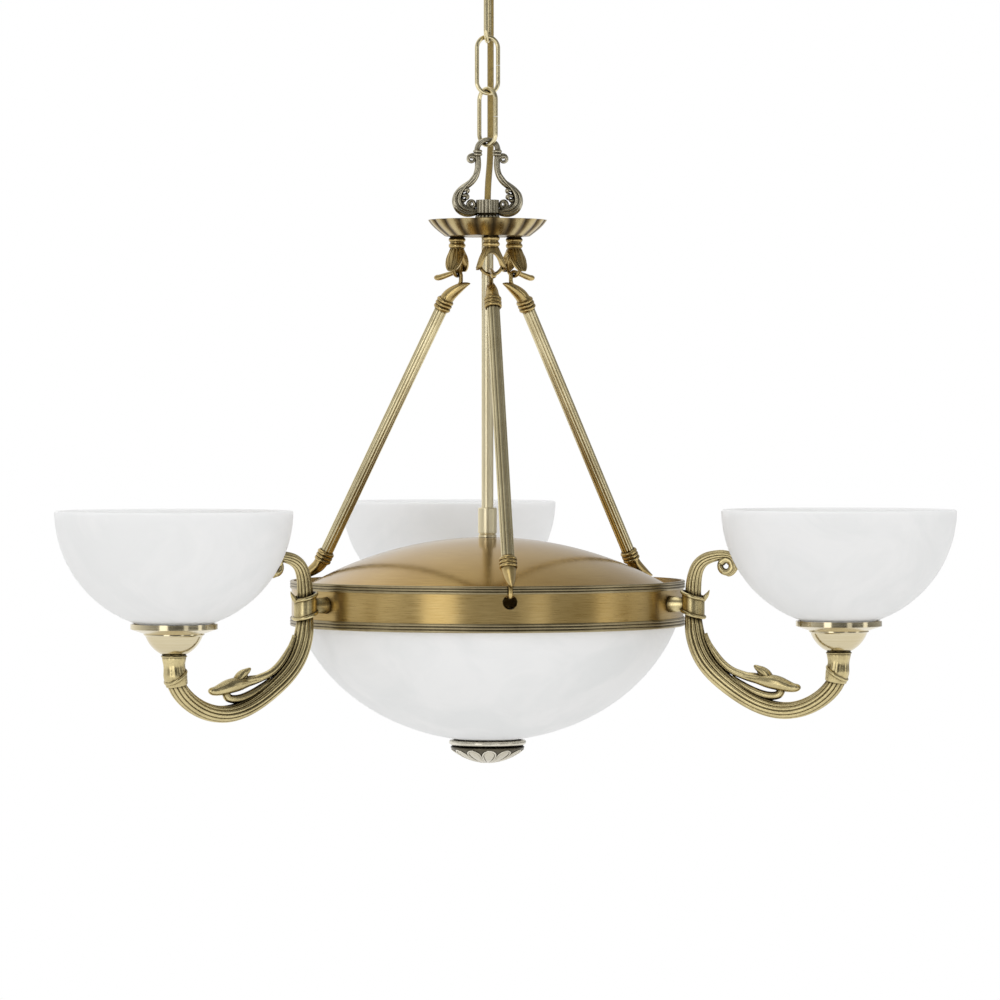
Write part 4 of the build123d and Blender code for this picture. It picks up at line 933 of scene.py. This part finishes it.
# %% Glow of the floor
floor_rays = add(floor_tree, "ShaderNodeLightPath")
floor_flat = add(floor_tree, "ShaderNodeVectorMath", {0: floor_place, 1: (1, 1, 0)}, operation="MULTIPLY")
floor_far = add(floor_tree, "ShaderNodeVectorMath", {0: floor_flat.outputs[0]}, operation="LENGTH")
floor_fade = add(floor_tree, "ShaderNodeMapRange", {"Value": floor_far.outputs["Value"], "From Min": 0.5,
                                                    "From Max": 2.2, "To Min": 0.6, "To Max": 1.0})
glossy, through, direct = (
    floor_rays.outputs[kind] for kind in ("Is Glossy Ray", "Is Transmission Ray", "Is Camera Ray"))
floor_mirrored = add(floor_tree, "ShaderNodeMath", {0: glossy, 1: through}, operation="MAXIMUM")
floor_looked_at = add(floor_tree, "ShaderNodeMath", {0: direct, 1: floor_mirrored.outputs[0]},
                      operation="MAXIMUM")
floor_seen = add(floor_tree, "ShaderNodeMath", {0: floor_looked_at.outputs[0], 1: floor_fade.outputs[0]},
                 operation="MULTIPLY")
floor_white = add(floor_tree, "ShaderNodeEmission", {"Color": hex_colour("#FFFFFF"), "Strength": 1.0})
floor_mix = add(floor_tree, "ShaderNodeMixShader",
                {"Fac": floor_seen.outputs[0], 1: floor_shader.outputs[0], 2: floor_white.outputs[0]})
floor_tree.links.new(floor_mix.outputs[0], floor_tree.nodes["Material Output"].inputs["Surface"])
print("floor glows through", len(floor_tree.nodes), "nodes")

# %% [markdown]
# The brass needs something dark to reflect as well. In its mirror the room is dark in front, where the camera
# stands, brighter towards the back, and dimmer on the right. Black screens could do that, but they would cast
# shadows, and a world can look different to glossy rays alone.

# %% World
ROOM_LIGHT = 0.86
world = bpy.data.worlds.new("studio")
scene.world = world
world.use_nodes = True
sky = world.node_tree
sky.nodes.clear()
rays = add(sky, "ShaderNodeLightPath")
seen = add(sky, "ShaderNodeMath", {0: rays.outputs["Is Camera Ray"], 1: rays.outputs["Is Transmission Ray"]},
           operation="MAXIMUM")
looking = add(sky, "ShaderNodeSeparateXYZ", {"Vector": add(sky, "ShaderNodeTexCoord").outputs["Generated"]})
depth = add(sky, "ShaderNodeMapRange", {"Value": looking.outputs["Y"], "From Min": -1.0, "From Max": 0.8,
                                        "To Min": 0.1, "To Max": 1.0})
aside = add(sky, "ShaderNodeMapRange", {"Value": looking.outputs["X"], "From Min": -0.15, "From Max": 0.4,
                                        "To Min": 1.0, "To Max": 0.42})
mirrored = add(sky, "ShaderNodeMath", {0: depth.outputs[0], 1: aside.outputs[0]}, operation="MULTIPLY")
room = add(sky, "ShaderNodeBackground", {"Color": hex_colour("#FFFFFF"), "Strength": ROOM_LIGHT})
mirror = add(sky, "ShaderNodeBackground", {"Color": hex_colour("#FFFFFF"), "Strength": mirrored.outputs[0]})
white = add(sky, "ShaderNodeBackground", {"Color": hex_colour("#FFFFFF"), "Strength": 1.0})
lit = add(sky, "ShaderNodeMixShader",
          {"Fac": rays.outputs["Is Glossy Ray"], 1: room.outputs[0], 2: mirror.outputs[0]})
shown = add(sky, "ShaderNodeMixShader", {"Fac": seen.outputs[0], 1: lit.outputs[0], 2: white.outputs[0]})
add(sky, "ShaderNodeOutputWorld", {"Surface": shown.outputs[0]})
print("room light", ROOM_LIGHT)

# %% [markdown]
# The lamps are soft boxes: a large one on the left, two narrow ones on the right and one from above. Small
# lamps would leave hard glints on the brass, and large ones lay wide soft bands along it.

# %% Lamps
LIT_POINT = Vector((0, 0, -0.5))


def soft_box(name, place, size, watts):
    """Rectangular lamp that faces the middle of the object."""
    lamp = bpy.data.lights.new(name, "AREA")
    lamp.shape = "RECTANGLE"
    lamp.size, lamp.size_y = size
    lamp.energy = watts
    holder = bpy.data.objects.new(name, lamp)
    holder.location = place
    holder.rotation_mode = "QUATERNION"
    holder.rotation_quaternion = (LIT_POINT - Vector(place)).to_track_quat("-Z", "Y")
    scene.collection.objects.link(holder)


soft_box("key_left", (-1.4, -2.1, -0.25), (0.9, 1.9), 8)
soft_box("front_right", (1.0, -2.4, -0.25), (0.55, 1.7), 2)
soft_box("side_right", (2.1, -1.0, -0.2), (0.5, 1.6), 2.5)
soft_box("top", (-0.3, 0.2, 1.5), (1.4, 1.0), 4)
print("lamps ready")
